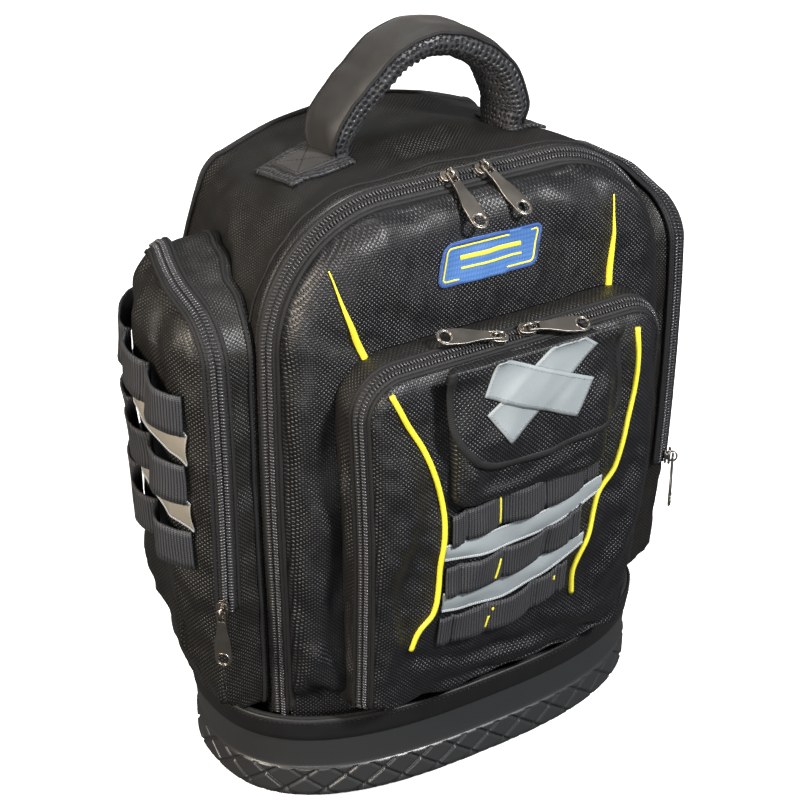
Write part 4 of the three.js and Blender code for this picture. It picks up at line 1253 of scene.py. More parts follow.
@dataclass
class Boot:
    """Rubber boot: rounded foot, diamond tread, satin band and a matt collar."""

    diamond_width: float = 28.0
    diamond_height: float = 21.0
    groove: float = 1.1
    groove_depth: float = 2.0
    columns_per_diamond: int = 28
    tread_proud: float = 1.6
    collar_from: float = 53.0

    def angles(self) -> tuple[Array, Array]:
        """Returns angles at even steps round the boot, and the distance at each."""
        dense = np.linspace(0, 2 * math.pi, 4001) - math.pi / 2
        ring = self.at(dense, 0.0, 0.0)
        far = lengths(ring)
        cells_round = round(far[-1] / self.diamond_width)
        count = cells_round * self.columns_per_diamond
        at = np.arange(count) / count * far[-1]
        return np.interp(at, far, dense), at / far[-1] * cells_round

    @staticmethod
    def at(angle: Array, inset: float | Array, z: float | Array) -> Array:
        """Returns the boot's points at an angle, an inset and a height.

        Args:
            angle: Angles round the boot.
            inset: Distance or share in from the outline.
            z: Height in millimetres.

        Returns:
            The values or points, one for each place.
        """
        c, s = np.cos(angle), np.sin(angle)
        a, b = BAG.boot_half_width - inset, BAG.boot_half_depth - inset
        power = np.where(s > 0, BAG.boot_rear_power, BAG.boot_front_power)
        r = (np.abs(c / a) ** power + np.abs(s / b) ** power) ** (-1 / power)
        return stack(r * c, r * s, z)

    def relief(self, cell: Array, z: float) -> Array:
        """Returns how deep the grooves between the diamonds are at a height.

        Args:
            cell: Places round the boot, counted in diamonds.
            z: Height in millimetres.

        Returns:
            The values or points, one for each place.
        """
        share = z / self.diamond_height
        slope = math.hypot(1 / self.diamond_width, 1 / self.diamond_height)
        depth = np.zeros(cell.shape)
        for line in (cell + share, cell - share):
            away = np.abs(line - np.round(line)) / slope
            depth = np.maximum(depth, 1 - smooth(self.groove * 0.5, self.groove * 1.3, away))
        return depth * self.groove_depth

    def build(self, bench: Bench) -> None:
        """Adds the boot, its collar and the seam on it.

        Args:
            bench: Where the pieces are made.
        """
        angle, cell = self.angles()
        low, top = BAG.tread_height, BAG.boot_height
        tread = [(0.0, z) for z in np.linspace(9, low - 1.2, 24)]
        outer = [(60, 0), (16, 0), (9, 0.2), (5, 1.2), (2.6, 3.2), (1.1, 5.4), (0.3, 7.4)]
        band = [
            (0.35, low - 0.4),
            (1.1, low + 0.1),
            (1.7, low + 0.9),
            (1.75, low + 3),
            (0.9, 40),
            (0, 52),
            (-1.2, 64),
        ]
        rim = [
            (-1.6, top - 3),
            (-1.4, top - 0.8),
            (0.2, top),
            (3, top - 0.6),
            (4, top - 4),
            (5.7, low),
            (8, 10),
            (16, 5),
            (60, 5),
        ]
        rows = []
        for inset, z in outer + tread + band + rim:
            relief_fade = smooth(1.0, 6.0, z) * (
                1 - smooth(low - 1.3, low - 0.6, z)
            ) if z < low and inset < 5.2 else 0.0
            rows.append(self.at(angle, inset + self.relief(cell, z) * relief_fade, z))
        grid = np.stack(rows)
        centre = np.array([[0.0, 0.0, 0.0], [0.0, 0.0, BAG.boot_floor]])
        count = len(angle)
        faces = cells(len(rows), count, True, 0, True)
        base = len(rows) * count
        for j in range(count):
            k = (j + 1) % count
            faces.append([base, k, j])
            faces.append([base + 1, (len(rows) - 1) * count + j, (len(rows) - 1) * count + k])
        thread = np.concatenate([ring_thread(grid).reshape(-1, 2), np.zeros((2, 2))])
        bench.add(
            "rubber_boot",
            Shape(np.concatenate([grid.reshape(-1, 3), centre]), faces, thread),
            Cloths.rubber,
            replaces=["base_tray"],
        )

        every = angle[:: self.columns_per_diamond // 12]
        heights = [self.collar_from, self.collar_from + 0.8, 58, 63, 68, top - 1, top + 0.6]
        insets = [0.1, -0.75, -1.3, -2.0, -2.5, -2.6, -1.4]
        collar = np.stack([self.at(every, inset, z) for inset, z in zip(insets, heights)])
        around = collar - np.array([0, 0, 60.0])
        bench.add("boot_collar", shell(collar, 0.9, around, True, ring_thread(collar)), Cloths.collar)
        line = self.at(every, -2.95, top - 2.6)
        ups = unit(self.at(every, -6, top - 2.6) - line)
        bench.add("boot_collar_stitches", stitches(line, ups, 3.4, 2.4, 0.3), Cloths.dark_thread)


@dataclass
class RearShell:
    """The main compartment's sides, top and back, with its bound edges."""

    wall: float = 3.0
    welt: float = 2.3
    top_folds: tuple[Fold, ...] = (
        Fold(((-60, -30), (-20, -22), (30, -26)), 9, -1.6),
        Fold(((-30, 10), (20, 4), (60, 12)), 14, 1.8),
        Fold(((-110, 10), (-90, 40), (-95, 70)), 9, -1.4),
    )
    side_folds: tuple[Fold, ...] = (
        Fold(((-40, 330), (-10, 372), (25, 400)), 9, 1.8),
        Fold(((-50, 385), (-15, 392), (20, 386)), 10, -1.6),
        Fold(((30, 400), (44, 350), (50, 300)), 8, -1.6),
        Fold(((-45, 100), (-25, 150), (-10, 240)), 9, 2.0),
    )

    def grid(self) -> Array:
        """Returns the outer face as rings from the zip to the middle of the back."""
        start = BAG.zip_width / 2 + BAG.gap
        rows = [body_ring(t, 0, start) for t in np.linspace(0, 1, 40)]
        rim = rows[-1]
        centre = np.array([0, float(rear_y(np.array(BAG.body_height / 2))) + 5, BAG.body_height / 2])
        for scale in np.linspace(0.97, 0.02, 16):
            q = (rim - centre) * scale + centre
            q[:, 1] = np.maximum(q[:, 1], rear_y(q[:, 2]) + 4 * (1 - scale))
            rows.append(tuck(q, BAG.inner_inset, BAG.body_seam, 0.8))
        return np.stack(rows)

    def build(self, bench: Bench) -> Shape:
        """Adds the shell and its bindings, and returns the shell.

        Args:
            bench: Where the pieces are made.

        Returns:
            The closed mesh, in millimetres.
        """
        grid = self.grid()
        away = grid - np.array([0, 0, BAG.body_height / 2])
        normals = facing(grid_normals(grid, True), away)
        loose = smooth(BAG.body_seam, BAG.body_seam + 25, grid[..., 2])
        edge = smooth(0, 4, np.arange(len(grid)))[:, None] * (
            0.35 + 0.65 * smooth(0, 3, np.abs(np.arange(len(grid)) - 39))
        )[:, None]
        x, y, z = np.moveaxis(grid, -1, 0)
        move = ripple(grid, 55, 3) * 1.4 + ripple(grid, 24, 5) * 0.5
        top = smooth(0.45, 0.8, normals[..., 2])
        side = smooth(0.5, 0.85, np.abs(normals[..., 0]))
        move = move + creased(self.top_folds, x, y) * top + creased(self.side_folds, y, z) * side
        grid = grid + normals * (move * loose * edge)[..., None]
        thread = ring_thread(grid)
        planar = np.stack([x, z], -1)
        thread = np.where((np.arange(len(grid)) > 39)[:, None, None], planar, thread)
        shape = shell(grid, self.wall, away, True, thread)
        bench.add("rear_shell_cloth", shape, Cloths.gusset, replaces=["rear_shell"])
        for name, row, radius in (("rear_edge_welt", 39, self.welt), ("gusset_seam_welt", 3, 1.1)):
            path, ups = above(grid[row], normals[row], BAG.boot_height - 4)
            bench.add(
                name, sweep(path + ups * radius * 0.3, ups, round_profile(radius, 8, 0.8)), Cloths.binding
            )
        path, ups = above(grid[1], normals[1], BAG.boot_height - 4)
        bench.add(
            "gusset_edge_stitches", stitches(path + ups * 0.2, ups, 3.0, 2.1, 0.26), Cloths.dark_thread
        )
        return shape


@dataclass
class MainZip:
    """The main zip in its ring between the rear shell and the lid."""

    def build(self, bench: Bench) -> Shape:
        """Adds the zip and returns its tape.

        Args:
            bench: Where the pieces are made.

        Returns:
            The closed mesh, in millimetres.
        """
        rows = [body_ring(0, BAG.zip_cone * (1 - k) / 2, k * BAG.zip_width / 2) for k in (-1, 0, 1)]
        grid = np.stack(rows)
        away = grid - np.array([0, 0, BAG.body_height / 2])
        normals = facing(grid_normals(grid, True), away)
        path, ups = above(grid[1], normals[1], BAG.boot_height - 6)
        width = math.hypot(BAG.zip_width, BAG.zip_cone)
        return ZipRun("main_zip", path - ups * 0.3, ups, width, ("main_zip",)).build(bench)


LID_INSET: Table = ((0, 0), (1, 0.06), (2, 0.36), (3, 1), (4, 2.6))
LID_FORWARD: Table = ((0, 0), (1, 0.38), (2, 0.8), (3, 1), (4, 1.08))


@dataclass
class FrontLid:
    """The front of the main compartment: a shallow padded cup with a bound rim."""

    wall: float = 2.5
    welt: float = 1.9
    folds: tuple[Fold, ...] = (
        Fold(((-136, 190), (-124, 160), (-128, 118)), 7, 2.4, 0.3),
        Fold(((-118, 178), (-122, 140), (-116, 100)), 6, -2.2),
        Fold(((-138, 132), (-122, 120), (-112, 92)), 5, 2.2, 0.4),
        Fold(((-136, 104), (-124, 96), (-113, 82)), 4.5, -2.0),
        Fold(((-132, 250), (-122, 225), (-119, 190)), 9, 1.8),
        Fold(((-119, 300), (-126, 268), (-122, 240)), 9, -1.2),
        Fold(((-110, 398), (-60, 372), (-20, 352)), 13, 1.5),
        Fold(((-126, 372), (-112, 356), (-92, 348)), 8, -1.4),
        Fold(((118, 330), (128, 290), (122, 240)), 8, 1.8),
        Fold(((126, 210), (120, 160), (128, 110)), 7, -1.9),
        Fold(((134, 180), (128, 140), (118, 96)), 6, 2.0, 0.4),
        Fold(((40, 412), (72, 396), (104, 366)), 11, 1.3),
    )

    def ring(self, inset: float, forward: float) -> Array:
        """Returns a ring of the lid, an inset in from its edge and a share of its depth forward.

        Args:
            inset: Distance or share in from the outline.
            forward: Share of the depth forward.

        Returns:
            The values or points, one for each place.
        """
        edge = BAG.zip_cone + inset * BAG.lid_round
        outline = arch(
            BAG.body_half_width - edge,
            BAG.body_half_width - edge,
            BAG.boot_floor + BAG.gap * 2 + inset * BAG.lid_round * 0.3,
            BAG.body_height - edge,
            max(BAG.shoulder_round - edge, 12),
            BAG.foot_round,
        )
        x, z = outline.T
        y = zip_y(z) - BAG.zip_width / 2 - BAG.gap - BAG.lid_depth * forward
        return stack(x * curve_through(BODY_SIDE, z / BAG.body_height), y, z)

    def grid(self) -> Array:
        """Returns the outer face from the rim to the middle."""
        rows = [
            self.ring(float(curve_through(LID_INSET, p)), float(curve_through(LID_FORWARD, p)))
            for p in np.linspace(0, 4, 46)
        ]
        last = rows[-1]
        middle = BAG.body_height / 2
        for scale in np.linspace(0.96, 0.03, 22):
            x, z = last[:, 0] * scale, middle + (last[:, 2] - middle) * scale
            forward = 1.08 + 0.01 * (1 - scale)
            rows.append(stack(x, zip_y(z) - BAG.zip_width / 2 - BAG.gap - BAG.lid_depth * forward, z))
        return tuck(np.stack(rows), BAG.inner_inset, BAG.body_seam, 0.8)

    def build(self, bench: Bench) -> Shape:
        """Adds the lid and its bound rim, and returns the lid.

        Args:
            bench: Where the pieces are made.

        Returns:
            The closed mesh, in millimetres.
        """
        grid = self.grid()
        away = grid - np.array([0, -BAG.zip_forward * 0.5, BAG.body_height / 2])
        normals = facing(grid_normals(grid, True), away)
        x, _, z = np.moveaxis(grid, -1, 0)
        free = smooth(2, 14, np.arange(len(grid)))[:, None] * smooth(
            BAG.boot_height - 4, BAG.boot_height + 18, z
        )
        move = creased(self.folds, x, z) + ripple(grid, 48, 11) * 1.2 + ripple(grid, 19, 13) * 0.45
        grid = grid + normals * (move * free)[..., None]
        shape = shell(grid, self.wall, away, True, np.stack([x, z], -1))
        bench.add("front_lid_cloth", shape, Cloths.pack, replaces=["front_lid"])
        path, ups = above(grid[2], normals[2], BAG.boot_height - 4)
        bench.add(
            "lid_rim_welt", sweep(path + ups * 0.2, ups, round_profile(self.welt, 10, 0.75)), Cloths.binding
        )
        path, ups = above(grid[8], normals[8], BAG.boot_height - 2)
        bench.add("lid_rim_stitches", stitches(path + ups * 0.15, ups, 3.2, 2.2, 0.26), Cloths.dark_thread)
        return shape


def pocket_ring(inset: float, depth: Callable[[Array, Array], Array], layer: float) -> Array:
    """Returns a ring of the front pocket, tucked over the rim of the boot.

    Args:
        inset: Distance or share in from the outline.
        depth: Gives each place's depth.
        layer: How many layers of the fold over the rim lie under it.

    Returns:
        The values or points, one for each place.
    """
    outline = arch(
        BAG.pocket_half_width - inset,
        BAG.pocket_half_width * 0.93 - inset,
        BAG.boot_height + BAG.gap * 2 + max(inset, 0),
        BAG.pocket_height - inset,
        max(BAG.pocket_round - inset, 6),
        5,
    )
    x, z = outline.T
    return tuck(stack(x, depth(x, z), z), layer * BAG.rim_fold - BAG.boot_lip, BAG.boot_height, 1.2)


COVER_INSET: Table = ((0, 0), (1, 0.08), (2, 0.4), (3, 1), (4, 2.4), (5, 4.2))
COVER_FORWARD: Table = ((0, 0), (1, 0.4), (2, 0.8), (3, 1), (4, 1.13), (5, 1.18))


@dataclass
class FrontPocket:
    """The box pocket on the lid: gusset, zip and the padded cover."""

    wall: float = 2.0
    welt: float = 1.6
    gusset_folds: tuple[Fold, ...] = (
        Fold(((6, 300), (12, 250), (8, 200)), 5, 1.6),
        Fold(((10, 190), (4, 150), (12, 110)), 4, -1.5),
        Fold(((2, 130), (12, 112), (22, 90)), 4, 1.6),
    )
    cover_folds: tuple[Fold, ...] = (
        Fold(((-88, 132), (-40, 112), (20, 106)), 6, -2.6, 0.3),
        Fold(((-70, 118), (-10, 101), (60, 104)), 5, 2.2, 0.4),
        Fold(((-60, 100), (0, 88), (70, 92)), 4.5, -1.9),
        Fold(((20, 126), (60, 112), (92, 118)), 6, 2.2, 0.4),
        Fold(((50, 100), (80, 92), (100, 104)), 4.5, -1.8),
        Fold(((-100, 300), (-84, 255), (-92, 205)), 9, 1.8),
        Fold(((-78, 240), (-88, 190), (-84, 140)), 8, -1.7),
        Fold(((-100, 180), (-92, 150), (-100, 110)), 5, 1.8, 0.4),
        Fold(((66, 140), (82, 160), (100, 200)), 8, 1.7),
        Fold(((58, 222), (76, 214), (98, 236)), 8, -1.4),
        Fold(((-70, 252), (-30, 240), (20, 252)), 8, -1.0),
    )

    def gusset(self, bench: Bench, lid: Shape) -> None:
        """Adds the gusset between the lid and the pocket's zip.

        Args:
            bench: Where the pieces are made.
            lid: The lid's cloth.
        """
        flat = arch(
            BAG.pocket_half_width,
            BAG.pocket_half_width * 0.93,
            BAG.boot_height + BAG.gap * 2,
            BAG.pocket_height,
            BAG.pocket_round,
            5,
        )
        back, _ = Surface(lid).lay(flat, Side.FRONT, 0.1)
        layer = BAG.cover_depth + BAG.pocket_zip_width + BAG.gap * 2
        front = pocket_ring(0, lambda x, z: pocket_y(z) + BAG.pocket_zip_width / 2 + BAG.gap * 2, layer)
        front[:, 1] = np.minimum(front[:, 1], back[:, 1] - 0.3)
        steps = np.linspace(0, 1, 18)
        grid = np.stack([mix(back, front, t) for t in steps])
        away = grid - np.array([0, -BAG.pocket_forward * 0.8, BAG.pocket_height * 0.6])
        normals = facing(grid_normals(grid, True), away)
        thread = ring_thread(grid)
        deep = np.linalg.norm(front - back, axis=1)[None, :] * steps[:, None]
        free = np.sin(math.pi * steps)[:, None] * smooth(
            BAG.boot_height + 2, BAG.boot_height + 30, grid[..., 2]
        )
        move = 1.6 + ripple(grid, 30, 21) * 0.8 + creased(self.gusset_folds, deep, grid[..., 2])
        grid = grid + normals * (move * free)[..., None]
        bench.add(
            "pocket_gusset_cloth",
            shell(grid, self.wall, away, True, thread),
            Cloths.gusset,
            replaces=["front_pocket"],
        )

    def zip(self, bench: Bench) -> None:
        """Adds the pocket's zip with a welt along its gusset side.

        Args:
            bench: Where the pieces are made.
        """
        rows = []
        for k in (-1, 0, 1):
            layer = BAG.cover_depth + BAG.gap + BAG.pocket_zip_width * (1 - k) / 2
            shift = k * BAG.pocket_zip_width / 2
            rows.append(
                pocket_ring(BAG.pocket_zip_cone * (1 + k) / 2, lambda x, z, s=shift: pocket_y(z) - s, layer)
            )
        grid = np.stack(rows)
        away = grid - np.array([0, -BAG.pocket_forward * 0.8, BAG.pocket_height * 0.6])
        normals = facing(grid_normals(grid, True), away)
        path, ups = above(grid[1], normals[1], BAG.boot_height + 4)
        width = math.hypot(BAG.pocket_zip_width, BAG.pocket_zip_cone)
        ZipRun(
            "front_pocket_zip", path - ups * 0.2, ups, width, ("front_pocket_zip",), tooth_length=3.7
        ).build(bench)
        path, ups = above(grid[0], normals[0], BAG.boot_height + 1)
        bench.add("pocket_gusset_welt", sweep(path + ups * 0.2, ups, round_profile(1.5, 8)), Cloths.binding)

    def cover(self, bench: Bench) -> Shape:
        """Adds the cover and its bound rim, and returns the cover.

        Args:
            bench: Where the pieces are made.

        Returns:
            The closed mesh, in millimetres.
        """

        def face(forward: float) -> Callable[[Array, Array], Array]:
            """Returns the cover's depth at each place, for a share of its height forward.

            Args:
                forward: Share of the depth forward.

            Returns:
                The arrays, in that order.
            """

            def depth(_: Array, z: Array) -> Array:
                """Returns how far back the cover's face is at a height.

                Args:
                    _: Place across, which makes no difference.
                    z: Height in millimetres.

                Returns:
                    The values or points, one for each place.
                """
                share = np.clip((z - BAG.boot_height) / (BAG.pocket_height - BAG.boot_height), 0, 1)
                swell = BAG.cover_bulge * forward * np.sin(math.pi * share) ** 1.5
                return pocket_y(z) - BAG.pocket_zip_width / 2 - BAG.gap - BAG.cover_depth * forward - swell

            return depth

        rows = []
        for p in np.linspace(0, 5, 54):
            inset, forward = float(curve_through(COVER_INSET, p)), float(curve_through(COVER_FORWARD, p))
            rows.append(
                pocket_ring(
                    BAG.pocket_zip_cone + inset * BAG.cover_round,
                    face(forward),
                    BAG.cover_depth * max(1 - forward, 0),
                )
            )
        last = rows[-1]
        middle = mix(BAG.boot_height, BAG.pocket_height, 0.5)
        for scale in np.linspace(0.93, 0.05, 12):
            x, z = last[:, 0] * scale, middle + (last[:, 2] - middle) * scale
            rows.append(tuck(stack(x, face(1.19)(x, z), z), -BAG.boot_lip, BAG.boot_height, 1.2))
        grid = np.stack(rows)
        away = grid - np.array([0, -BAG.pocket_forward * 0.8, BAG.pocket_height * 0.6])
        normals = facing(grid_normals(grid, True), away)
        x, _, z = np.moveaxis(grid, -1, 0)
        free = smooth(2, 14, np.arange(len(grid)))[:, None] * smooth(
            BAG.boot_height + 3, BAG.boot_height + 18, z
        )
        move = creased(self.cover_folds, x, z) + ripple(grid, 44, 31) * 1.1 + ripple(grid, 17, 33) * 0.45
        grid = grid + normals * (move * free)[..., None]
        shape = shell(grid, self.wall, away, True, np.stack([x, z], -1))
        bench.add("pocket_cover_cloth", shape, Cloths.pack, replaces=["front_pocket_cover"])
        path, ups = above(grid[2], normals[2], BAG.boot_height + 1)
        bench.add(
            "pocket_rim_welt",
            sweep(path + ups * 0.2, ups, round_profile(self.welt, 10, 0.75)),
            Cloths.binding,
        )
        path, ups = above(grid[9], normals[9], BAG.boot_height + 4)
        bench.add(
            "pocket_rim_stitches", stitches(path + ups * 0.15, ups, 3.2, 2.2, 0.26), Cloths.dark_thread
        )
        return shape

    def build(self, bench: Bench, lid: Shape) -> Shape:
        """Adds the whole pocket and returns its cover.

        Args:
            bench: Where the pieces are made.
            lid: The lid's cloth.

        Returns:
            The closed mesh, in millimetres.
        """
        self.gusset(bench, lid)
        self.zip(bench)
        return self.cover(bench)


def slab(grid: Array, thickness: float, side: Side, thread: Array) -> Shape:
    """Returns a plate that grows outwards from a grid laid on a side.

    Args:
        grid: Rows of points in millimetres.
        thickness: Thickness in millimetres.
        side: The side that it faces.
        thread: Thread coordinates for each point.

    Returns:
        The closed mesh, in millimetres.
    """
    out = np.broadcast_to(side.outward(), grid.shape)
    raised = grid + out * thickness
    return shell(raised, thickness, out, False, thread)


def plane_thread(places: Array) -> Array:
    """Returns thread coordinates that follow a grid's own rows and columns.

    Args:
        places: A grid of points.

    Returns:
        The values or points, one for each place.
    """
    along = np.linalg.norm(np.diff(places, axis=1), axis=2).mean(axis=0)
    across = np.linalg.norm(np.diff(places, axis=0), axis=2).mean(axis=1)
    u = np.concatenate([[0], np.cumsum(along)])
    v = np.concatenate([[0], np.cumsum(across)])
    return np.stack(np.broadcast_arrays(u[None, :], v[:, None]), -1).astype(float)


# The flap's left and right edge by the share hung down, and its length by the share across
FLAP_LEFT: Table = ((0, -62), (0.35, -62), (0.62, -61), (0.82, -55), (1, -45))
FLAP_RIGHT: Table = ((0, 62), (0.5, 65), (0.8, 67), (0.92, 66), (1, 61))
FLAP_DROP: Table = ((-1, 0.9), (-0.8, 0.97), (-0.5, 1), (0, 1), (0.5, 0.96), (0.85, 0.92), (1, 0.88))


@dataclass
class FlapPocket:
    """The small pocket with its flap and the crossed strips."""

    half_width: float = 58
    top: float = 338
    foot: float = 246
    rise: float = 11
    flap_top: float = 345
    flap_length: float = 72
    flap_thickness: float = 1.8
    strips: tuple[tuple[str, float, tuple[tuple[float, float], ...]], ...] = (
        ("flap_strip_rising", 0.9, ((-40, 312), (22, 354), (-24, 289), (43, 338))),
        ("flap_strip_falling", 0.9, ((-31, 348), (40, 316), (-41, 324), (26, 293))),
    )

    def body(self, bench: Bench, cover: Shape) -> Shape:
        """Adds the pocket's body and returns it.

        Args:
            bench: Where the pieces are made.
            cover: The front pocket cover's cloth.

        Returns:
            The closed mesh, in millimetres.
        """
        rows = []
        steps = np.linspace(0, 1, 22)
        surface = Surface(cover)
        for t in steps:
            inset = 14 * (1 - math.cos(t * math.pi / 2)) ** 1.4
            half, foot, top = self.half_width - inset, self.foot + inset * 0.8, self.top - inset * 0.3
            outline = arch(half, half, foot, top, 8, 9)[::3]
            points, _ = surface.lay(outline, Side.FRONT, self.rise * math.sin(t * math.pi / 2) ** 0.8)
            rows.append(points)
        last = rows[-1]
        middle = np.array([0, 0, mix(self.foot, self.top, 0.5)])
        for scale in np.linspace(0.9, 0.06, 9):
            p = last.copy()
            p[:, [0, 2]] = (last[:, [0, 2]] - middle[[0, 2]]) * scale + middle[[0, 2]]
            p[:, 1] = mix(last[:, 1].mean() - 1.5, last[:, 1], scale**2)
            rows.append(p)
        grid = np.stack(rows)
        away = grid - np.array([0, -BAG.pocket_forward + 12, mix(self.foot, self.top, 0.5)])
        normals = facing(grid_normals(grid, True), away)
        x, _, z = np.moveaxis(grid, -1, 0)
        free = smooth(1, 8, np.arange(len(grid)))[:, None]
        folds = (
            Fold(((-50, 262), (-20, 256), (10, 262)), 5, -1.8, 0.4),
            Fold(((0, 256), (30, 262), (52, 272)), 5, 1.8, 0.4),
            Fold(((-52, 290), (-48, 270), (-44, 256)), 5, 1.6),
        )
        grid = grid + normals * ((ripple(grid, 24, 41) * 0.7 + creased(folds, x, z)) * free)[..., None]
        shape = shell(grid, 2.0, away, True, np.stack([x, z], -1))
        bench.add("flap_pocket_cloth", shape, Cloths.pack, replaces=["flap_pocket"])
        return shape

    def flap_outline(self, across: Array, down: Array) -> Array:
        """Returns places on the flap from shares across and down it.

        Args:
            across: Each point's place across.
            down: Each point's share of the way down.

        Returns:
            The values or points, one for each place.
        """
        left, right = curve_through(FLAP_LEFT, down), curve_through(FLAP_RIGHT, down)
        x = mix(left, right, (across + 1) / 2)
        return np.stack([x, self.flap_top - down * self.flap_length * curve_through(FLAP_DROP, across)], -1)

    def flap(self, bench: Bench, cover: Shape, body: Shape) -> Shape:
        """Adds the flap with its bound edge and returns it.

        Args:
            bench: Where the pieces are made.
            cover: The front pocket cover's cloth.
            body: The cloth behind it.

        Returns:
            The closed mesh, in millimetres.
        """
        across, down = np.meshgrid(np.linspace(-1, 1, 61), np.linspace(0, 1, 37))
        places = self.flap_outline(across, down)
        grid = Surface(cover, body).drape(places, Side.FRONT, 1.0, 40)
        out = Side.FRONT.outward()
        puff = 2.2 * np.sin(
            np.pi * np.clip(down * 1.02, 0, 1)
        ) * (1 - across**4) + ripple(grid, 26, 51) * 0.5
        grid = grid + out * puff[..., None]
        shape = slab(grid, self.flap_thickness, Side.FRONT, places)
        bench.add("pocket_flap_cloth", shape, Cloths.flap, replaces=["pocket_flap"])
        edge = np.concatenate(
            [grid[:, 0], grid[-1, 1:], grid[::-1, -1][1:]]
        ) + out * self.flap_thickness * 0.55
        normals = np.tile(out, (len(edge), 1))
        bench.add("flap_edge_binding", sweep(edge, normals, round_profile(2.9, 8, 0.5)), Cloths.binding)
        return shape

    def cross(self, bench: Bench, flap: Shape, cover: Shape) -> None:
        """Adds the crossed strips with their sewn edges.

        Args:
            bench: Where the pieces are made.
            flap: The flap's cloth.
            cover: The front pocket cover's cloth.
        """
        under = [flap, cover]
        for name, thickness, corners in self.strips:
            start_a, end_a, start_b, end_b = (np.array(c, float) for c in corners)
            t, s = np.meshgrid(np.linspace(0, 1, 41), np.linspace(0, 1, 13))
            places = mix(mix(start_a, end_a, t[..., None]), mix(start_b, end_b, t[..., None]), s[..., None])
            places[..., 1] = np.minimum(places[..., 1], self.flap_top)
            surface = Surface(*under)
            grid = surface.drape(places, Side.FRONT, 0.25, 6)
            shape = slab(grid, thickness, Side.FRONT, plane_thread(places))
            bench.add(name, shape, Cloths.film, replaces=[name])
            out = Side.FRONT.outward()
            top = grid + out * (thickness + 0.05)
            border = np.concatenate([top[1, 1:-1], top[1:-1, -2], top[-2, 1:-1][::-1], top[1:-1, 1][::-1]])
            ups = np.tile(out, (len(border), 1))
            bench.add(f"{name}_stitches", stitches(border, ups, 2.6, 1.8, 0.3), Cloths.film_edge)
            under.append(shape)

    def build(self, bench: Bench, cover: Shape) -> list[Shape]:
        """Adds the pocket, its flap and strips, and returns the shapes.

        Args:
            bench: Where the pieces are made.
            cover: The front pocket cover's cloth.

        Returns:
            The arrays, in that order.
        """
        body = self.body(bench, cover)
        flap = self.flap(bench, cover, body)
        self.cross(bench, flap, cover)
        return [body, flap]


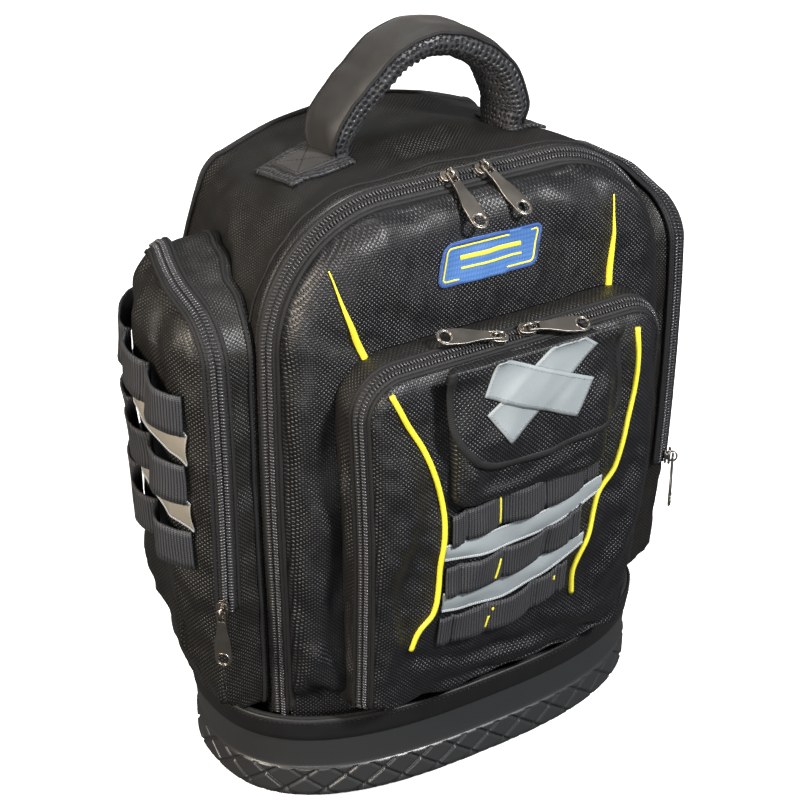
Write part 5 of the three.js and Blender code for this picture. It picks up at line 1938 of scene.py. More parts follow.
@dataclass
class Ladder:
    """Rows of webbing loops over reflective strips on one side of the bag.

    Attributes:
        name: Start of the pieces' names.
        side: The side that they are sewn on.
        strips: For each strip its top and bottom edge as points in the side's plane.
        rows: For each row of webbing its middle line as points in the side's plane.
        width: The webbing's width.
        tacks: For each row the places of the tacks, as shares of its length.
        rise: How far a loop stands off.
        film: The strips' finish.
    """

    name: str
    side: Side
    strips: tuple[tuple[Table, Table], ...]
    rows: tuple[Table, ...]
    width: float
    tacks: tuple[tuple[float, ...], ...]
    rise: float
    film: Finish
    replaces_rows: tuple[str, ...]
    replaces_strips: tuple[str, ...]
    yellow: tuple[tuple[tuple[float, float], tuple[float, float]], ...] = ()

    def strip(self, bench: Bench, host: list[Shape], index: int) -> Shape:
        """Adds a strip with folded, sewn edges and returns it.

        Args:
            bench: Where the pieces are made.
            host: Shapes that it lies on.
            index: Which row, from the top.

        Returns:
            The closed mesh, in millimetres.
        """
        top, bottom = self.strips[index]
        along = np.linspace(top[0][0], top[-1][0], 61)
        upper, lower = curve_through(top, along), curve_through(bottom, along)
        share = np.linspace(0, 1, 11)[:, None]
        places = np.stack(
            np.broadcast_arrays(along[None, :], mix(upper[None, :], lower[None, :], share)), -1
        )
        grid = Surface(*host).drape(places, self.side, 0.25, 10)
        out = self.side.outward()
        belly = 1.6 * np.sin(math.pi * share) * (0.6 + 0.4 * np.sin(along[None, :] / 9))
        grid = grid + out * belly[..., None]
        shape = slab(grid, 0.7, self.side, plane_thread(places))
        name = self.replaces_strips[index]
        bench.add(f"{name}_film", shape, self.film, replaces=[name])
        edges = []
        for row in (0, -1):
            line = grid[row] + out * 0.75
            edges.append(sweep(line, np.tile(out, (len(line), 1)), flat_profile(1.9, 0.7)))
        bench.add(f"{name}_edges", Shape.joined(edges), Cloths.film_edge)
        return shape

    def webbing(self, bench: Bench, host: list[Shape], index: int) -> Shape:
        """Adds a row of loops and returns it.

        Args:
            bench: Where the pieces are made.
            host: Shapes that it lies on.
            index: Which row, from the top.

        Returns:
            The closed mesh, in millimetres.
        """
        row, tacks = self.rows[index], np.array(self.tacks[index])
        count = 181
        along = np.linspace(row[0][0], row[-1][0], count)
        height = curve_through(row, along)
        share = np.linspace(-0.5, 0.5, 7)[:, None]
        places = np.stack(np.broadcast_arrays(along[None, :], height[None, :] + share * self.width), -1)
        grid = Surface(*host).drape(places, self.side, 0.3, 14)
        t = np.linspace(0, 1, count)
        nearest = np.searchsorted(tacks, t, side="right").clip(1, len(tacks) - 1)
        left, right = tacks[nearest - 1], tacks[nearest]
        inside = np.clip((t - left) / (right - left), 0, 1)
        long = np.clip((right - left) / np.diff(tacks).max(), 0.3, 1)
        lift = self.rise * long * np.sin(math.pi * inside) ** 0.55
        pleats = 0.35 * np.sin(along * 2 * math.pi / 4.6) * np.exp(
            -(np.minimum(t - left, right - t) / 0.05) ** 2
        )
        out = self.side.outward()
        grid = grid + out * (lift + pleats)[None, :, None]
        thread = plane_thread(places)
        stretched = lengths(grid[3])
        thread[..., 0] = stretched[None, :]
        shape = slab(grid, 1.4, self.side, thread)
        name = self.replaces_rows[index]
        bench.add(f"{name}_loops", shape, Cloths.webbing, replaces=[name])
        return shape

    def build(self, bench: Bench, host: list[Shape]) -> list[Shape]:
        """Adds the strips, the webbing and the yellow bar tacks, and returns the webbing.

        Args:
            bench: Where the pieces are made.
            host: Shapes that it lies on.

        Returns:
            The arrays, in that order.
        """
        strips = [self.strip(bench, host, k) for k in range(len(self.strips))]
        rows = [self.webbing(bench, host + strips, k) for k in range(len(self.rows))]
        if self.yellow:
            surface = Surface(*host, *strips, *rows)
            bars = []
            out = self.side.outward()
            for start, end in self.yellow:
                places = np.linspace(start, end, 9)
                line, _ = surface.lay(places, self.side, 0.15)
                bars.append(sweep(line, np.tile(out, (len(line), 1)), flat_profile(1.7, 0.7)))
            bench.add(f"{self.name}_bar_tacks", Shape.joined(bars), Cloths.thread)
        return strips + rows


LOWER_PIPING = {
    "left": (
        (-97, 334),
        (-88, 314),
        (-77, 293),
        (-69, 271),
        (-64, 249),
        (-63, 230),
        (-64, 208),
        (-64, 183),
        (-67, 166),
        (-75, 155),
        (-80, 139),
    ),
    "right": (
        (86, 331),
        (86, 313),
        (84, 289),
        (78, 266),
        (72, 242),
        (69, 233),
        (60, 219),
        (56, 204),
        (53, 189),
        (48, 173),
        (45, 157),
        (47, 139),
    ),
}
UPPER_PIPING = {
    "left": ((-112, 401), (-106, 375), (-92, 336)),
    "right": ((95, 405), (92, 375), (90, 337)),
}


@dataclass
class Piping:
    """Yellow cords held in the seams of the lid and the pocket."""

    radius: float = 1.8

    def line(self, points: Sequence[tuple[float, float]], host: Shape) -> tuple[Array, Array]:
        """Returns a smooth line through the points, laid on the host.

        Args:
            points: Points in millimetres.
            host: Shapes that it lies on.

        Returns:
            The arrays, in that order.
        """
        p = np.array(points, float)
        at = np.concatenate([[0], np.cumsum(np.linalg.norm(np.diff(p, axis=0), axis=1))])
        even = np.linspace(0, at[-1], 90)
        places = np.stack([curve_through(list(zip(at, p[:, k])), even) for k in (0, 1)], -1)
        path, _ = Surface(host).lay(places, Side.FRONT, self.radius * 0.55)
        path[:, 1] = np.convolve(np.pad(path[:, 1], 4, mode="edge"), np.ones(9) / 9, mode="valid")
        return path, np.tile(Side.FRONT.outward(), (len(path), 1))

    def build(self, bench: Bench, lid: Shape, cover: Shape) -> None:
        """Adds the four cords and the rows of stitches beside the lower two.

        Args:
            bench: Where the pieces are made.
            lid: The lid's cloth.
            cover: The front pocket cover's cloth.
        """
        for label, points in LOWER_PIPING.items():
            path, ups = self.line(points, cover)
            bench.add(
                f"lower_piping_{label}_cord",
                sweep(path, ups, round_profile(self.radius, 10)),
                Cloths.piping,
                replaces=[f"lower_piping_{label}"],
            )
            _, side, up = frames_along(path, ups, False)
            rows = [
                stitches(path + side * s * 3.4 - up * self.radius * 0.35, ups, 3.0, 2.1, 0.26)
                for s in (-1, 1)
            ]
            bench.add(f"lower_piping_{label}_stitches", Shape.joined(rows), Cloths.dark_thread)
        for label, points in UPPER_PIPING.items():
            path, ups = self.line(points, lid)
            grow = 0.25 + 0.85 * smooth(0, 1, np.linspace(0, 1.3, len(path)))
            bench.add(
                f"upper_piping_{label}_cord",
                sweep(path, ups, round_profile(self.radius * 1.1, 10), scale=grow),
                Cloths.piping,
                replaces=[f"upper_piping_{label}"],
            )


@dataclass
class LabelPatch:
    """A plain embroidered patch: blue field, yellow line and two plain bars."""

    half_length: float = 36
    half_width: float = 13
    corner: float = 5.5
    slant: float = 0.28
    x: float = -2
    z: float = 388

    def loop(self, inset: float, count: int = 96) -> Array:
        """Returns the rounded outline an inset in from the edge, as places on the lid.

        Args:
            inset: Distance or share in from the outline.
            count: How many points.

        Returns:
            The values or points, one for each place.
        """
        a = np.arange(count) / count * 2 * math.pi
        r = max(self.corner - inset, 0.6)
        c, s = np.cos(a), np.sin(a)
        x = np.sign(c) * (self.half_length - inset - r) + r * c
        z = np.sign(s) * (self.half_width - inset - r) + r * s
        return np.stack([x + z * self.slant + self.x, z + self.z], -1)

    def build(self, bench: Bench, lid: Shape) -> None:
        """Adds the patch, its merrowed edge, line and bars.

        Args:
            bench: Where the pieces are made.
            lid: The lid's cloth.
        """
        surface = Surface(lid)
        out = Side.FRONT.outward()
        v = np.linspace(-1, 1, 19)[:, None] * self.half_width
        over = np.maximum(np.abs(v) - (self.half_width - self.corner), 0)
        half = self.half_length - self.corner + np.sqrt(self.corner**2 - over**2)
        x = np.linspace(-1, 1, 45)[None, :] * half + v * self.slant + self.x
        places = np.stack(np.broadcast_arrays(x, v + self.z), -1)
        grid = surface.lay(places, Side.FRONT, 0.35)[0]
        bench.add(
            "label_patch_field", slab(grid, 1.3, Side.FRONT, places), Cloths.label, replaces=["label_patch"]
        )
        for name, inset, radius, finish in (
            ("edge", 0.8, 1.25, Cloths.label_edge), ("line", 3.0, 0.65, Cloths.thread)
        ):
            path, _ = surface.lay(self.loop(inset), Side.FRONT, 1.6)
            bench.add(
                f"label_patch_{name}",
                sweep(path, np.tile(out, (len(path), 1)), round_profile(radius, 6, 0.7), True),
                finish,
            )
        bars = []
        for dz, half, width in ((3.0, 22, 3.2), (-3.4, 22, 1.6)):
            line, _ = surface.lay(
                np.stack([np.linspace(-half, half, 30) + self.x, np.full(30, self.z + dz)], -1),
                Side.FRONT,
                1.5,
            )
            bars.append(sweep(line, np.tile(out, (len(line), 1)), flat_profile(width, 0.7, 0.2)))
        bench.add("label_patch_bars", Shape.joined(bars), Cloths.thread)


SIDE_INSET: Table = ((0, 0), (1, 0), (2, 0.005), (3, 0.06), (4, 0.22), (5, 0.52))
SIDE_OUT: Table = ((0, 0), (1, 0.72), (2, 0.93), (3, 1), (4, 1), (5, 1))
SIDE_BULGE: Table = ((0, 0), (1, 0), (2, 0), (3, 0.1), (4, 0.5), (5, 0.95))


@dataclass
class SidePocket:
    """A side pocket with its corner zip, loops and strips."""

    sign: int
    label: str
    full: float
    wall: float = 2.0
    front_inset: float = 7
    rear: float = 58
    top: float = 378
    top_slope: float = 0.12
    front_round: float = 34
    rear_round: float = 14
    half_width: float = 180
    bulge: float = 19
    zip_end: float = 164
    first_row: float = 324
    row_pitch: float = 49
    row_slope: float = 0.34
    folds: tuple[Fold, ...] = (
        Fold(((44, 218), (4, 150), (-46, 96)), 9, 2.6, 0.35),
        Fold(((50, 176), (20, 120), (-10, 84)), 8, -2.2),
        Fold(((-44, 150), (-20, 120), (-6, 90)), 7, 2.0, 0.3),
        Fold(((-10, 372), (-22, 340), (-28, 300)), 6, -1.4),
        Fold(((16, 366), (10, 330), (14, 290)), 6, 1.2),
    )

    def half(self) -> float:
        """Returns half the pocket's depth."""
        return (self.rear + BAG.zip_forward - self.front_inset) / 2

    def middle(self) -> float:
        """Returns the pocket's middle in depth."""
        return self.rear - self.half()

    def outline(self, inset: float) -> Array:
        """Returns an outline of the pocket in depth and height.

        Args:
            inset: Distance or share in from the outline.

        Returns:
            The values or points, one for each place.
        """
        half = self.half()
        corner = max(mix(self.front_round, self.rear_round, 0.5) - inset, 6)
        u, z = arch(
            half - inset,
            half - inset,
            BAG.boot_height + BAG.gap * 2 + inset * 0.6,
            self.top - inset,
            corner,
            8,
        ).T
        forward = zip_y(z) + BAG.zip_forward
        frontness = np.clip((half - u) / (2 * half), 0, 1)
        high = smooth(0.5, 1, z / self.top)
        cut = np.where(frontness > 0.5, (frontness - 0.5) * 14 * smooth(0.8, 1, z / self.top), 0)
        return np.stack([self.middle() + u + forward * frontness, z + self.top_slope * u * high - cut], -1)

    def grid(self, body: list[Shape]) -> Array:
        """Returns the outer face from the body outwards.

        Args:
            body: The cloth behind it.

        Returns:
            The values or points, one for each place.
        """
        side = Side.LEFT if self.sign < 0 else Side.RIGHT
        seats = np.abs(Surface(*body).lay(self.outline(0), side, 0.2)[0][:, 0])
        rows = []
        for p in np.concatenate([np.linspace(0, 1, 12), np.linspace(1.1, 5, 40)]):
            inset, out, bulge = (float(curve_through(t, p)) for t in (SIDE_INSET, SIDE_OUT, SIDE_BULGE))
            y, z = self.outline(max(inset, 0) * self.half()).T
            rearness = smooth(-0.2, 1, (y - self.middle()) / self.half())
            edge = self.half_width * (1 - 0.07 * rearness)
            swell = self.bulge * self.full * bulge * smooth(BAG.boot_height, self.zip_end + 20, z)
            points = stack(self.sign * (mix(seats, edge, out) + swell), y, z)
            rows.append(tuck(points, -BAG.boot_lip, BAG.boot_height, 0.9) if p > 0 else points)
        last = rows[-1]
        centre = np.array(
            [
                self.sign * (self.half_width + self.bulge * self.full),
                self.middle(),
                mix(BAG.boot_height, self.top, 0.5),
            ]
        )
        for scale in np.linspace(0.92, 0.05, 8):
            p = mix(centre, last, scale)
            p[:, 0] = mix(centre[0], last[:, 0], scale**2)
            rows.append(p)
        return np.stack(rows)

    def build(self, bench: Bench, body: list[Shape]) -> None:
        """Adds the pocket and everything that is sewn on it.

        Args:
            bench: Where the pieces are made.
            body: The cloth behind it.
        """
        side = Side.LEFT if self.sign < 0 else Side.RIGHT
        grid = self.grid(body)
        away = grid - np.array(
            [self.sign * BAG.body_half_width * 0.9, self.middle(), (BAG.boot_height + self.top) / 2]
        )
        normals = facing(grid_normals(grid, True), away)
        _, y, z = np.moveaxis(grid, -1, 0)
        rows = np.arange(len(grid))
        free = (smooth(14, 30, rows) + 0.8 * smooth(0, 4, rows) * (1 - smooth(6, 11, rows)))[:, None]
        free = free * smooth(BAG.boot_height + 2, BAG.boot_height + 16, z)
        move = creased(self.folds, y, z) + ripple(grid, 40, 61 + self.sign) * 1.3 + ripple(grid, 17, 71 + self.sign) * 0.45
        grid = grid + normals * (move * free)[..., None]
        thread = np.where((rows < 22)[:, None, None], ring_thread(grid), np.stack([y, z], -1))
        shape = shell(grid, self.wall, away, True, thread)
        bench.add(
            f"side_pocket_{self.label}_cloth", shape, Cloths.gusset, replaces=[f"side_pocket_{self.label}"]
        )
        self.zip(bench, grid, normals)
        self.ladder(bench, shape, side)

    def zip(self, bench: Bench, grid: Array, normals: Array) -> None:
        """Adds the zip on the pocket's front corner, with its bound edges.

        Args:
            bench: Where the pieces are made.
            grid: Rows of points in millimetres.
            normals: Up vector at each point.
        """
        count = grid.shape[1]
        order = (np.arange(count) + count // 2 - TOP_STEPS - TURN_STEPS + 2) % count
        row = 17
        path, ups = grid[row][order], normals[row][order]
        zipped = (path[:, 2] > self.zip_end - 2) & (path[:, 1] < self.middle() + self.half() * 0.86)
        first = int(np.argmax(zipped))
        last = first + int(np.argmin(zipped[first:]))
        path, ups = path[first:last], unit(ups[first:last] + np.array([self.sign, -0.6, 0.3]) * 0.4)
        ZipRun(f"side_zip_{self.label}", path + ups * 0.3, ups, 13, (f"side_zip_{self.label}",)).build(bench)
        _, across, up = frames_along(path, ups, False)
        for k, sign in enumerate((-1, 1)):
            line = path + across * sign * 7.2 + up * 0.4
            bench.add(
                f"side_zip_{self.label}_welt_{k + 1}",
                sweep(line, ups, round_profile(1.3, 8)),
                Cloths.binding,
            )
        seam, ups = above(grid[2], normals[2], BAG.boot_height + 4)
        bench.add(
            f"side_pocket_{self.label}_seam",
            sweep(seam + ups * 0.5, ups, round_profile(1.3, 8)),
            Cloths.binding,
        )

    def ladder(self, bench: Bench, pocket: Shape, side: Side) -> None:
        """Adds the webbing rows and strips on the pocket.

        Args:
            bench: Where the pieces are made.
            pocket: The pocket's cloth.
            side: The side that it faces.
        """
        start, end = self.middle() - self.half() * 0.84, self.middle() + self.half() * 0.84
        at = (start + end) / 2

        def line(k: float, shift: float) -> Table:
            """Returns the line of row k, moved up by a shift, as places on the pocket's side."""
            return tuple(
                (u, self.first_row - self.row_pitch * k + self.row_slope * (u - at) + shift)
                for u in np.linspace(start, end, 5)
            )

        rows = tuple(line(k, 0) for k in range(3))
        strips = tuple((line(k + 0.5, 10.5), line(k + 0.5, -10.5)) for k in range(2))
        yellow = []
        for k, share in ((0, 0.62), (1, 0.66), (2, 0.64)):
            u = mix(start, end, share)
            z = self.first_row - self.row_pitch * k + self.row_slope * (u - at)
            yellow.append(((u, z - 11), (u, z + 11)))
        Ladder(
            f"side_{self.label}",
            side,
            strips,
            rows,
            28,
            ((0, 0.34, 0.66, 1), (0, 0.34, 0.66, 1), (0, 0.34, 0.66, 1)),
            9.5 * self.full,
            Cloths.side_film,
            tuple(f"side_webbing_{self.label}_{k}" for k in (1, 2, 3)),
            tuple(f"side_strip_{self.label}_{k}" for k in (1, 2)),
            tuple(yellow),
        ).build(bench, [pocket])


def front_ladder() -> Ladder:
    """Returns the rows and strips on the front pocket."""
    return Ladder(
        "front",
        Side.FRONT,
        (
            (
                ((-62, 219), (-30, 217), (0, 219), (30, 224), (60, 232)),
                ((-62, 208), (-30, 203), (0, 204), (30, 209), (60, 220)),
            ),
            (
                ((-61, 180), (-30, 178), (0, 181), (30, 186), (48, 191)),
                ((-61, 166), (-30, 161), (0, 163), (30, 172), (48, 184)),
            ),
        ),
        (
            ((-58, 229), (-25, 233), (0, 234), (30, 239), (56, 246)),
            ((-60, 189), (-25, 191), (0, 193), (30, 199), (45, 204)),
            ((-62, 148), (-25, 148), (0, 150), (20, 155), (38, 160)),
        ),
        23,
        ((0, 0.1, 0.34, 0.62, 0.9, 1), (0, 0.1, 0.4, 0.72, 0.92, 1), (0, 0.1, 0.36, 0.72, 0.92, 1)),
        4.2,
        Cloths.film,
        tuple(f"front_webbing_{k}" for k in (1, 2, 3)),
        tuple(f"front_strip_{k}" for k in (1, 2)),
        (
            ((-21, 223), (-21, 243)),
            ((-20, 196), (-24, 182)),
            ((-24, 149), (-26, 140)),
            ((27, 163), (27, 160)),
            ((-22, 156), (-22, 154)),
        ),
    )


@dataclass(frozen=True)
class Padding:
    """Foam under cloth: a short cloth simulation with pressure inside makes it swell between its seams."""

    pressure: float = 3.0
    most: float = 1.6
    frames: int = 12

    def swell(self, made: bpy.types.Object) -> None:
        """Swells a closed piece, no further than most millimetres at any point.

        Args:
            made: The object.
        """
        scene = bpy.context.scene
        cloth = made.modifiers.new("padding", "CLOTH")
        cloth.settings.quality = 4
        cloth.settings.mass = 0.3
        cloth.settings.tension_stiffness = 40
        cloth.settings.compression_stiffness = 40
        cloth.settings.bending_stiffness = 2
        cloth.settings.use_pressure = True
        cloth.settings.uniform_pressure_force = self.pressure
        cloth.settings.effector_weights.gravity = 0
        cloth.collision_settings.use_collision = False
        cloth.point_cache.frame_start = 1
        cloth.point_cache.frame_end = self.frames
        for step in range(1, self.frames + 1):
            scene.frame_set(step)
        swollen = made.evaluated_get(bpy.context.evaluated_depsgraph_get()).to_mesh()
        count = len(made.data.vertices)
        start, end = np.zeros(count * 3), np.zeros(count * 3)
        made.data.vertices.foreach_get("co", start)
        swollen.vertices.foreach_get("co", end)
        move = (end - start).reshape(-1, 3)
        size = np.linalg.norm(move, axis=1, keepdims=True)
        move = move * np.minimum(1, self.most * MM / np.maximum(size, 1e-9))
        made.modifiers.remove(cloth)
        made.data.vertices.foreach_set("co", (start.reshape(-1, 3) + move).ravel())
        made.data.update()
        scene.frame_set(1)


@dataclass
class Handle:
    """The padded carrying handle on its two sewn feet."""

    width: float = 44
    thickness: float = 19
    depth: float = 16
    skew: float = 6
    middle_line: tuple[tuple[float, float], ...] = (
        (-49, 428),
        (-50, 437),
        (-47, 447),
        (-37, 460),
        (-24, 473),
        (-8, 487),
        (12, 494),
        (30, 492),
        (48, 484),
        (64, 472),
        (73, 457),
        (77, 443),
        (76, 432),
        (75, 424),
    )

    def build(self, bench: Bench, body: Shape) -> None:
        """Adds the feet, the padded bar, its smooth outer cloth and the mesh inside.

        Args:
            bench: Where the pieces are made.
            body: The cloth behind it.
        """
        self.feet(bench, body)
        p = np.array(self.middle_line, float)
        at = np.concatenate([[0], np.cumsum(np.linalg.norm(np.diff(p, axis=0), axis=1))])
        n = 150
        even = np.linspace(0, at[-1], n)
        x, z = (curve_through(list(zip(at, p[:, k])), even) for k in (0, 1))
        share = np.linspace(0, 1, n)
        y = mix(self.depth + self.skew, self.depth - self.skew, share)
        path = stack(x, y, z)
        along = unit(np.gradient(path, axis=0))
        across = np.tile([0.0, 1.0, 0.0], (n, 1))
        outward = unit(np.cross(along, across))
        outward = outward if outward[n // 2, 2] > 0 else -outward
        m = 64
        a = np.arange(m) / m * 2 * math.pi
        c = np.sign(np.cos(a)) * np.abs(np.cos(a)) ** 0.62
        s = np.sign(np.sin(a)) * np.abs(np.sin(a)) ** 0.85
        pinch = 1 - 0.16 * (1 - smooth(0, 0.09, share) * (1 - smooth(0.91, 1, share)))
        inner = np.clip(-s, 0, 1)
        bend = np.sin(share * math.pi)
        crimps = np.sin(even[:, None] * 2 * math.pi / 11.5 + 0.8 * np.sin(a)[None, :] * 2) ** 2
        sag = inner[None, :] * bend[:, None] * (1.0 - 2.6 * crimps)
        points = (
            path[:, None, :]
            + across[:, None, :] * (c[None, :] * self.width / 2 * pinch[:, None])[..., None]
            + outward[:, None, :] * (s[None, :] * (self.thickness / 2) * pinch[:, None] + sag)[..., None]
        )
        points = points + outward[:, None, :] * (ripple(points, 16, 81) * 0.35)[..., None]
        around = lengths(np.concatenate([points[n // 2], points[n // 2][:1]]))[:-1]
        thread = np.stack(np.broadcast_arrays(even[:, None], around[None, :]), -1).astype(float)
        faces = cells(n, m, True, 0, False)
        caps = [list(range(m))[::-1], list(range((n - 1) * m, n * m))]
        bar = Shape(points.reshape(-1, 3), faces + caps, thread.reshape(-1, 2))
        made = bench.add("handle_padding", bar, Cloths.mesh, replaces=["handle"])
        Padding(most=0.7).swell(made)
        top = np.where(s > 0.55)[0]
        strip = points[:, top] + outward[:, None, :] * 0.9
        cover = shell(strip, 0.8, np.broadcast_to(outward[:, None, :], strip.shape), False, thread[:, top])
        bench.add("handle_cloth_strip", cover, Cloths.handle)
        for k, column in enumerate((0, -1)):
            line = strip[:, column]
            bench.add(
                f"handle_edge_binding_{k + 1}", sweep(line, outward, round_profile(1.1, 8)), Cloths.binding
            )

    def feet(self, bench: Bench, body: Shape) -> None:
        """Adds the sewn feet with their box stitching and mesh edges.

        Args:
            bench: Where the pieces are made.
            body: The cloth behind it.
        """
        surface = Surface(body)
        corners = {
            "left": ((-95, -11), (-47, -7), (-51, 43), (-96, 38)),
            "right": ((66, -13), (99, -9), (103, 33), (70, 33)),
        }
        for label, (a, b, c, d) in corners.items():
            s, t = np.meshgrid(np.linspace(0, 1, 25), np.linspace(0, 1, 25))
            a, b, c, d = (np.array(q, float) for q in (a, b, c, d))
            places = mix(mix(a, b, s[..., None]), mix(d, c, s[..., None]), t[..., None])
            grid = surface.drape(places, Side.TOP, 0.3, 8)
            shape = slab(grid, 1.9, Side.TOP, places)
            bench.add(f"handle_foot_{label}_patch", shape, Cloths.mesh, replaces=[f"handle_foot_{label}"])
            out = Side.TOP.outward()
            inner = grid[4:-4, 4:-4] + out * 1.95
            bench.add(
                f"handle_foot_{label}_cloth",
                shell(inner + out * 0.9, 0.85, np.broadcast_to(out, inner.shape), False, places[4:-4, 4:-4]),
                Cloths.handle,
            )
            rim = inner[1:-1, 1:-1] + out * 1.0
            box = np.concatenate([rim[0], rim[1:, -1], rim[-1][::-1], rim[::-1, 0]])
            rows = [stitches(box, np.tile(out, (len(box), 1)), 2.8, 2.0, 0.3)]
            for line in (
                np.array([rim[i, i] for i in range(len(rim))]),
                np.array([rim[i, -1 - i] for i in range(len(rim))]),
            ):
                rows.append(stitches(line, np.tile(out, (len(line), 1)), 2.8, 2.0, 0.3))
            bench.add(f"handle_foot_{label}_stitches", Shape.joined(rows), Cloths.dark_thread)


@dataclass
class PullTab:
    """A zip slider with its long pull tab, in the slider's own frame."""

    name: str
    along_tab: bool
    length: float = 42
    width: float = 11.5
    thickness: float = 1.6
    eye: float = 3.5
    slider_height: float = 4.2
    axis_lift: float = 1.7
    bail_inner: float = 2.3
    bail_wire: float = 1.4

    def frame_axes(self) -> tuple[Array, Array, Array, Array]:
        """Returns the pivot, the tab's way, the hinge axis and the way off the cloth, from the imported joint."""
        joint = next(j for j in frame["joints"] if j["child"] == f"pull_{self.name}")
        pivot = np.array(joint["pos_m"], float) / MM
        low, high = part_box(f"pull_{self.name}")
        centre = np.array(low + high) / 2 / MM
        y = unit(-np.array(joint["axis"], float))
        x = centre - pivot
        x = unit(x - (x @ y) * y)
        return pivot, x, y, unit(np.cross(x, y))

    def place(self, shape: Shape, axes: tuple[Array, Array, Array, Array]) -> Shape:
        """Returns a shape moved from the slider's frame to the bag's.

        Args:
            shape: The shape.
            axes: The plate's origin and directions.

        Returns:
            The closed mesh, in millimetres.
        """
        pivot, x, y, z = axes
        points = pivot + shape.points[:, :1] * x + shape.points[:, 1:2] * y + shape.points[:, 2:] * z
        return Shape(points, shape.faces, shape.thread)

    def plate(
        self,
        loops: list[Array],
        low: float,
        high: float,
        bevel: float,
        axes: tuple[Array, Array, Array, Array],
    ) -> bpy.types.Mesh:
        """Returns a bevelled plate from an outline and its holes, as a mesh in the bag's frame.

        Args:
            loops: The outline, then its holes.
            low: Lower face of the plate.
            high: Upper face of the plate.
            bevel: Round of its edges.
            axes: The plate's origin and directions.

        Returns:
            The mesh.
        """
        curve = bpy.data.curves.new(f"outline_{self.name}", "CURVE")
        curve.dimensions = "2D"
        curve.fill_mode = "BOTH"
        curve.extrude = (high - low) / 2 * MM - bevel * MM
        curve.bevel_depth = bevel * MM
        curve.bevel_resolution = 2
        curve.offset = -bevel * MM
        for loop in loops:
            spline = curve.splines.new("POLY")
            spline.points.add(len(loop) - 1)
            for point, (px, py) in zip(spline.points, loop):
                point.co = (px * MM, py * MM, 0, 1)
            spline.use_cyclic_u = True
        holder = bpy.data.objects.new("outline_holder", curve)
        bpy.context.scene.collection.objects.link(holder)
        bpy.context.view_layer.update()
        mesh = bpy.data.meshes.new_from_object(holder.evaluated_get(bpy.context.evaluated_depsgraph_get()))
        bpy.data.objects.remove(holder)
        bpy.data.curves.remove(curve)
        pivot, x, y, z = axes
        turn = Matrix(((x[0], y[0], z[0], 0), (x[1], y[1], z[1], 0), (x[2], y[2], z[2], 0), (0, 0, 0, 1)))
        origin = pivot + z * (low + high) / 2
        mesh.transform(Matrix.Translation(Vector(origin * MM)) @ turn)
        return mesh

    def tab_outline(self) -> list[Array]:
        """Returns the tab's outline, its slot and its eye."""
        bar = self.thickness / 2 + 0.1
        neck, half = 3.2, self.width / 2
        end = self.length - half
        a = np.linspace(-math.pi / 2, math.pi / 2, 25)
        tip = np.stack([end + half * np.cos(a), half * np.sin(a)], -1)
        edge = np.linspace(0, 1, 12)
        widen_x = mix(9.0, end * 0.75, edge)
        widen_y = neck + (half - neck) * smooth(0, 1, edge)
        lower = np.stack([widen_x, -widen_y], -1)
        outline = np.concatenate(
            [
                [[-bar, -neck + 0.4], [-bar + 0.5, -neck]],
                lower,
                tip,
                (lower * [1, -1])[::-1],
                [[-bar + 0.5, neck], [-bar, neck - 0.4]],
            ]
        )
        slot_end = bar + self.bail_inner + self.bail_wire + 2.2
        slot = np.array([[bar, -1.9], [bar, 1.9], [slot_end, 1.9], [slot_end, -1.9]])
        b = np.linspace(0, 2 * math.pi, 32, endpoint=False)
        eye = np.stack([end + self.eye * np.cos(b), self.eye * np.sin(b)], -1)
        return [outline, slot, eye]

    def build(self, bench: Bench) -> None:
        """Adds the slider on the bag and the tab on its own body.

        Args:
            bench: Where the pieces are made.
        """
        axes = self.frame_axes()
        outline, slot, eye = self.tab_outline()
        mesh = self.plate([outline, slot, eye], -self.thickness / 2, self.thickness / 2, 0.35, axes)
        self.finish(bench, mesh, f"pull_{self.name}_tab", f"pull_{self.name}", f"pull_{self.name}")
        end = self.length - self.width / 2
        b = np.linspace(0, 2 * math.pi, 32, endpoint=False)
        ring = stack((self.eye + 1.0) * np.cos(b) + end, (self.eye + 1.0) * np.sin(b), self.thickness / 2)
        rim = sweep(ring, np.tile([0.0, 0.0, 1.0], (32, 1)), round_profile(0.45, 6), True)
        bench.add(f"pull_{self.name}_rim", self.place(rim, axes), Cloths.nickel, f"pull_{self.name}")
        self.slider(bench, axes)

    def finish(self, bench: Bench, mesh: bpy.types.Mesh, name: str, body: str, node: str) -> None:
        """Puts a plate's mesh on its body with the nickel finish.

        Args:
            bench: Where the pieces are made.
            mesh: The mesh.
            name: The piece's name.
            body: The body that it rides on.
            node: The node that it stands for.
        """
        mesh.materials.clear()
        mesh.materials.append(Cloths.nickel.material())
        layer = mesh.uv_layers.get("thread") or mesh.uv_layers.new(name="thread")
        layer.name = "thread"
        mesh.polygons.foreach_set("use_smooth", np.full(len(mesh.polygons), False))
        made = bpy.data.objects.new(name, mesh)
        bpy.context.scene.collection.objects.link(made)
        bench.keep(made, body, [node] if node else [])

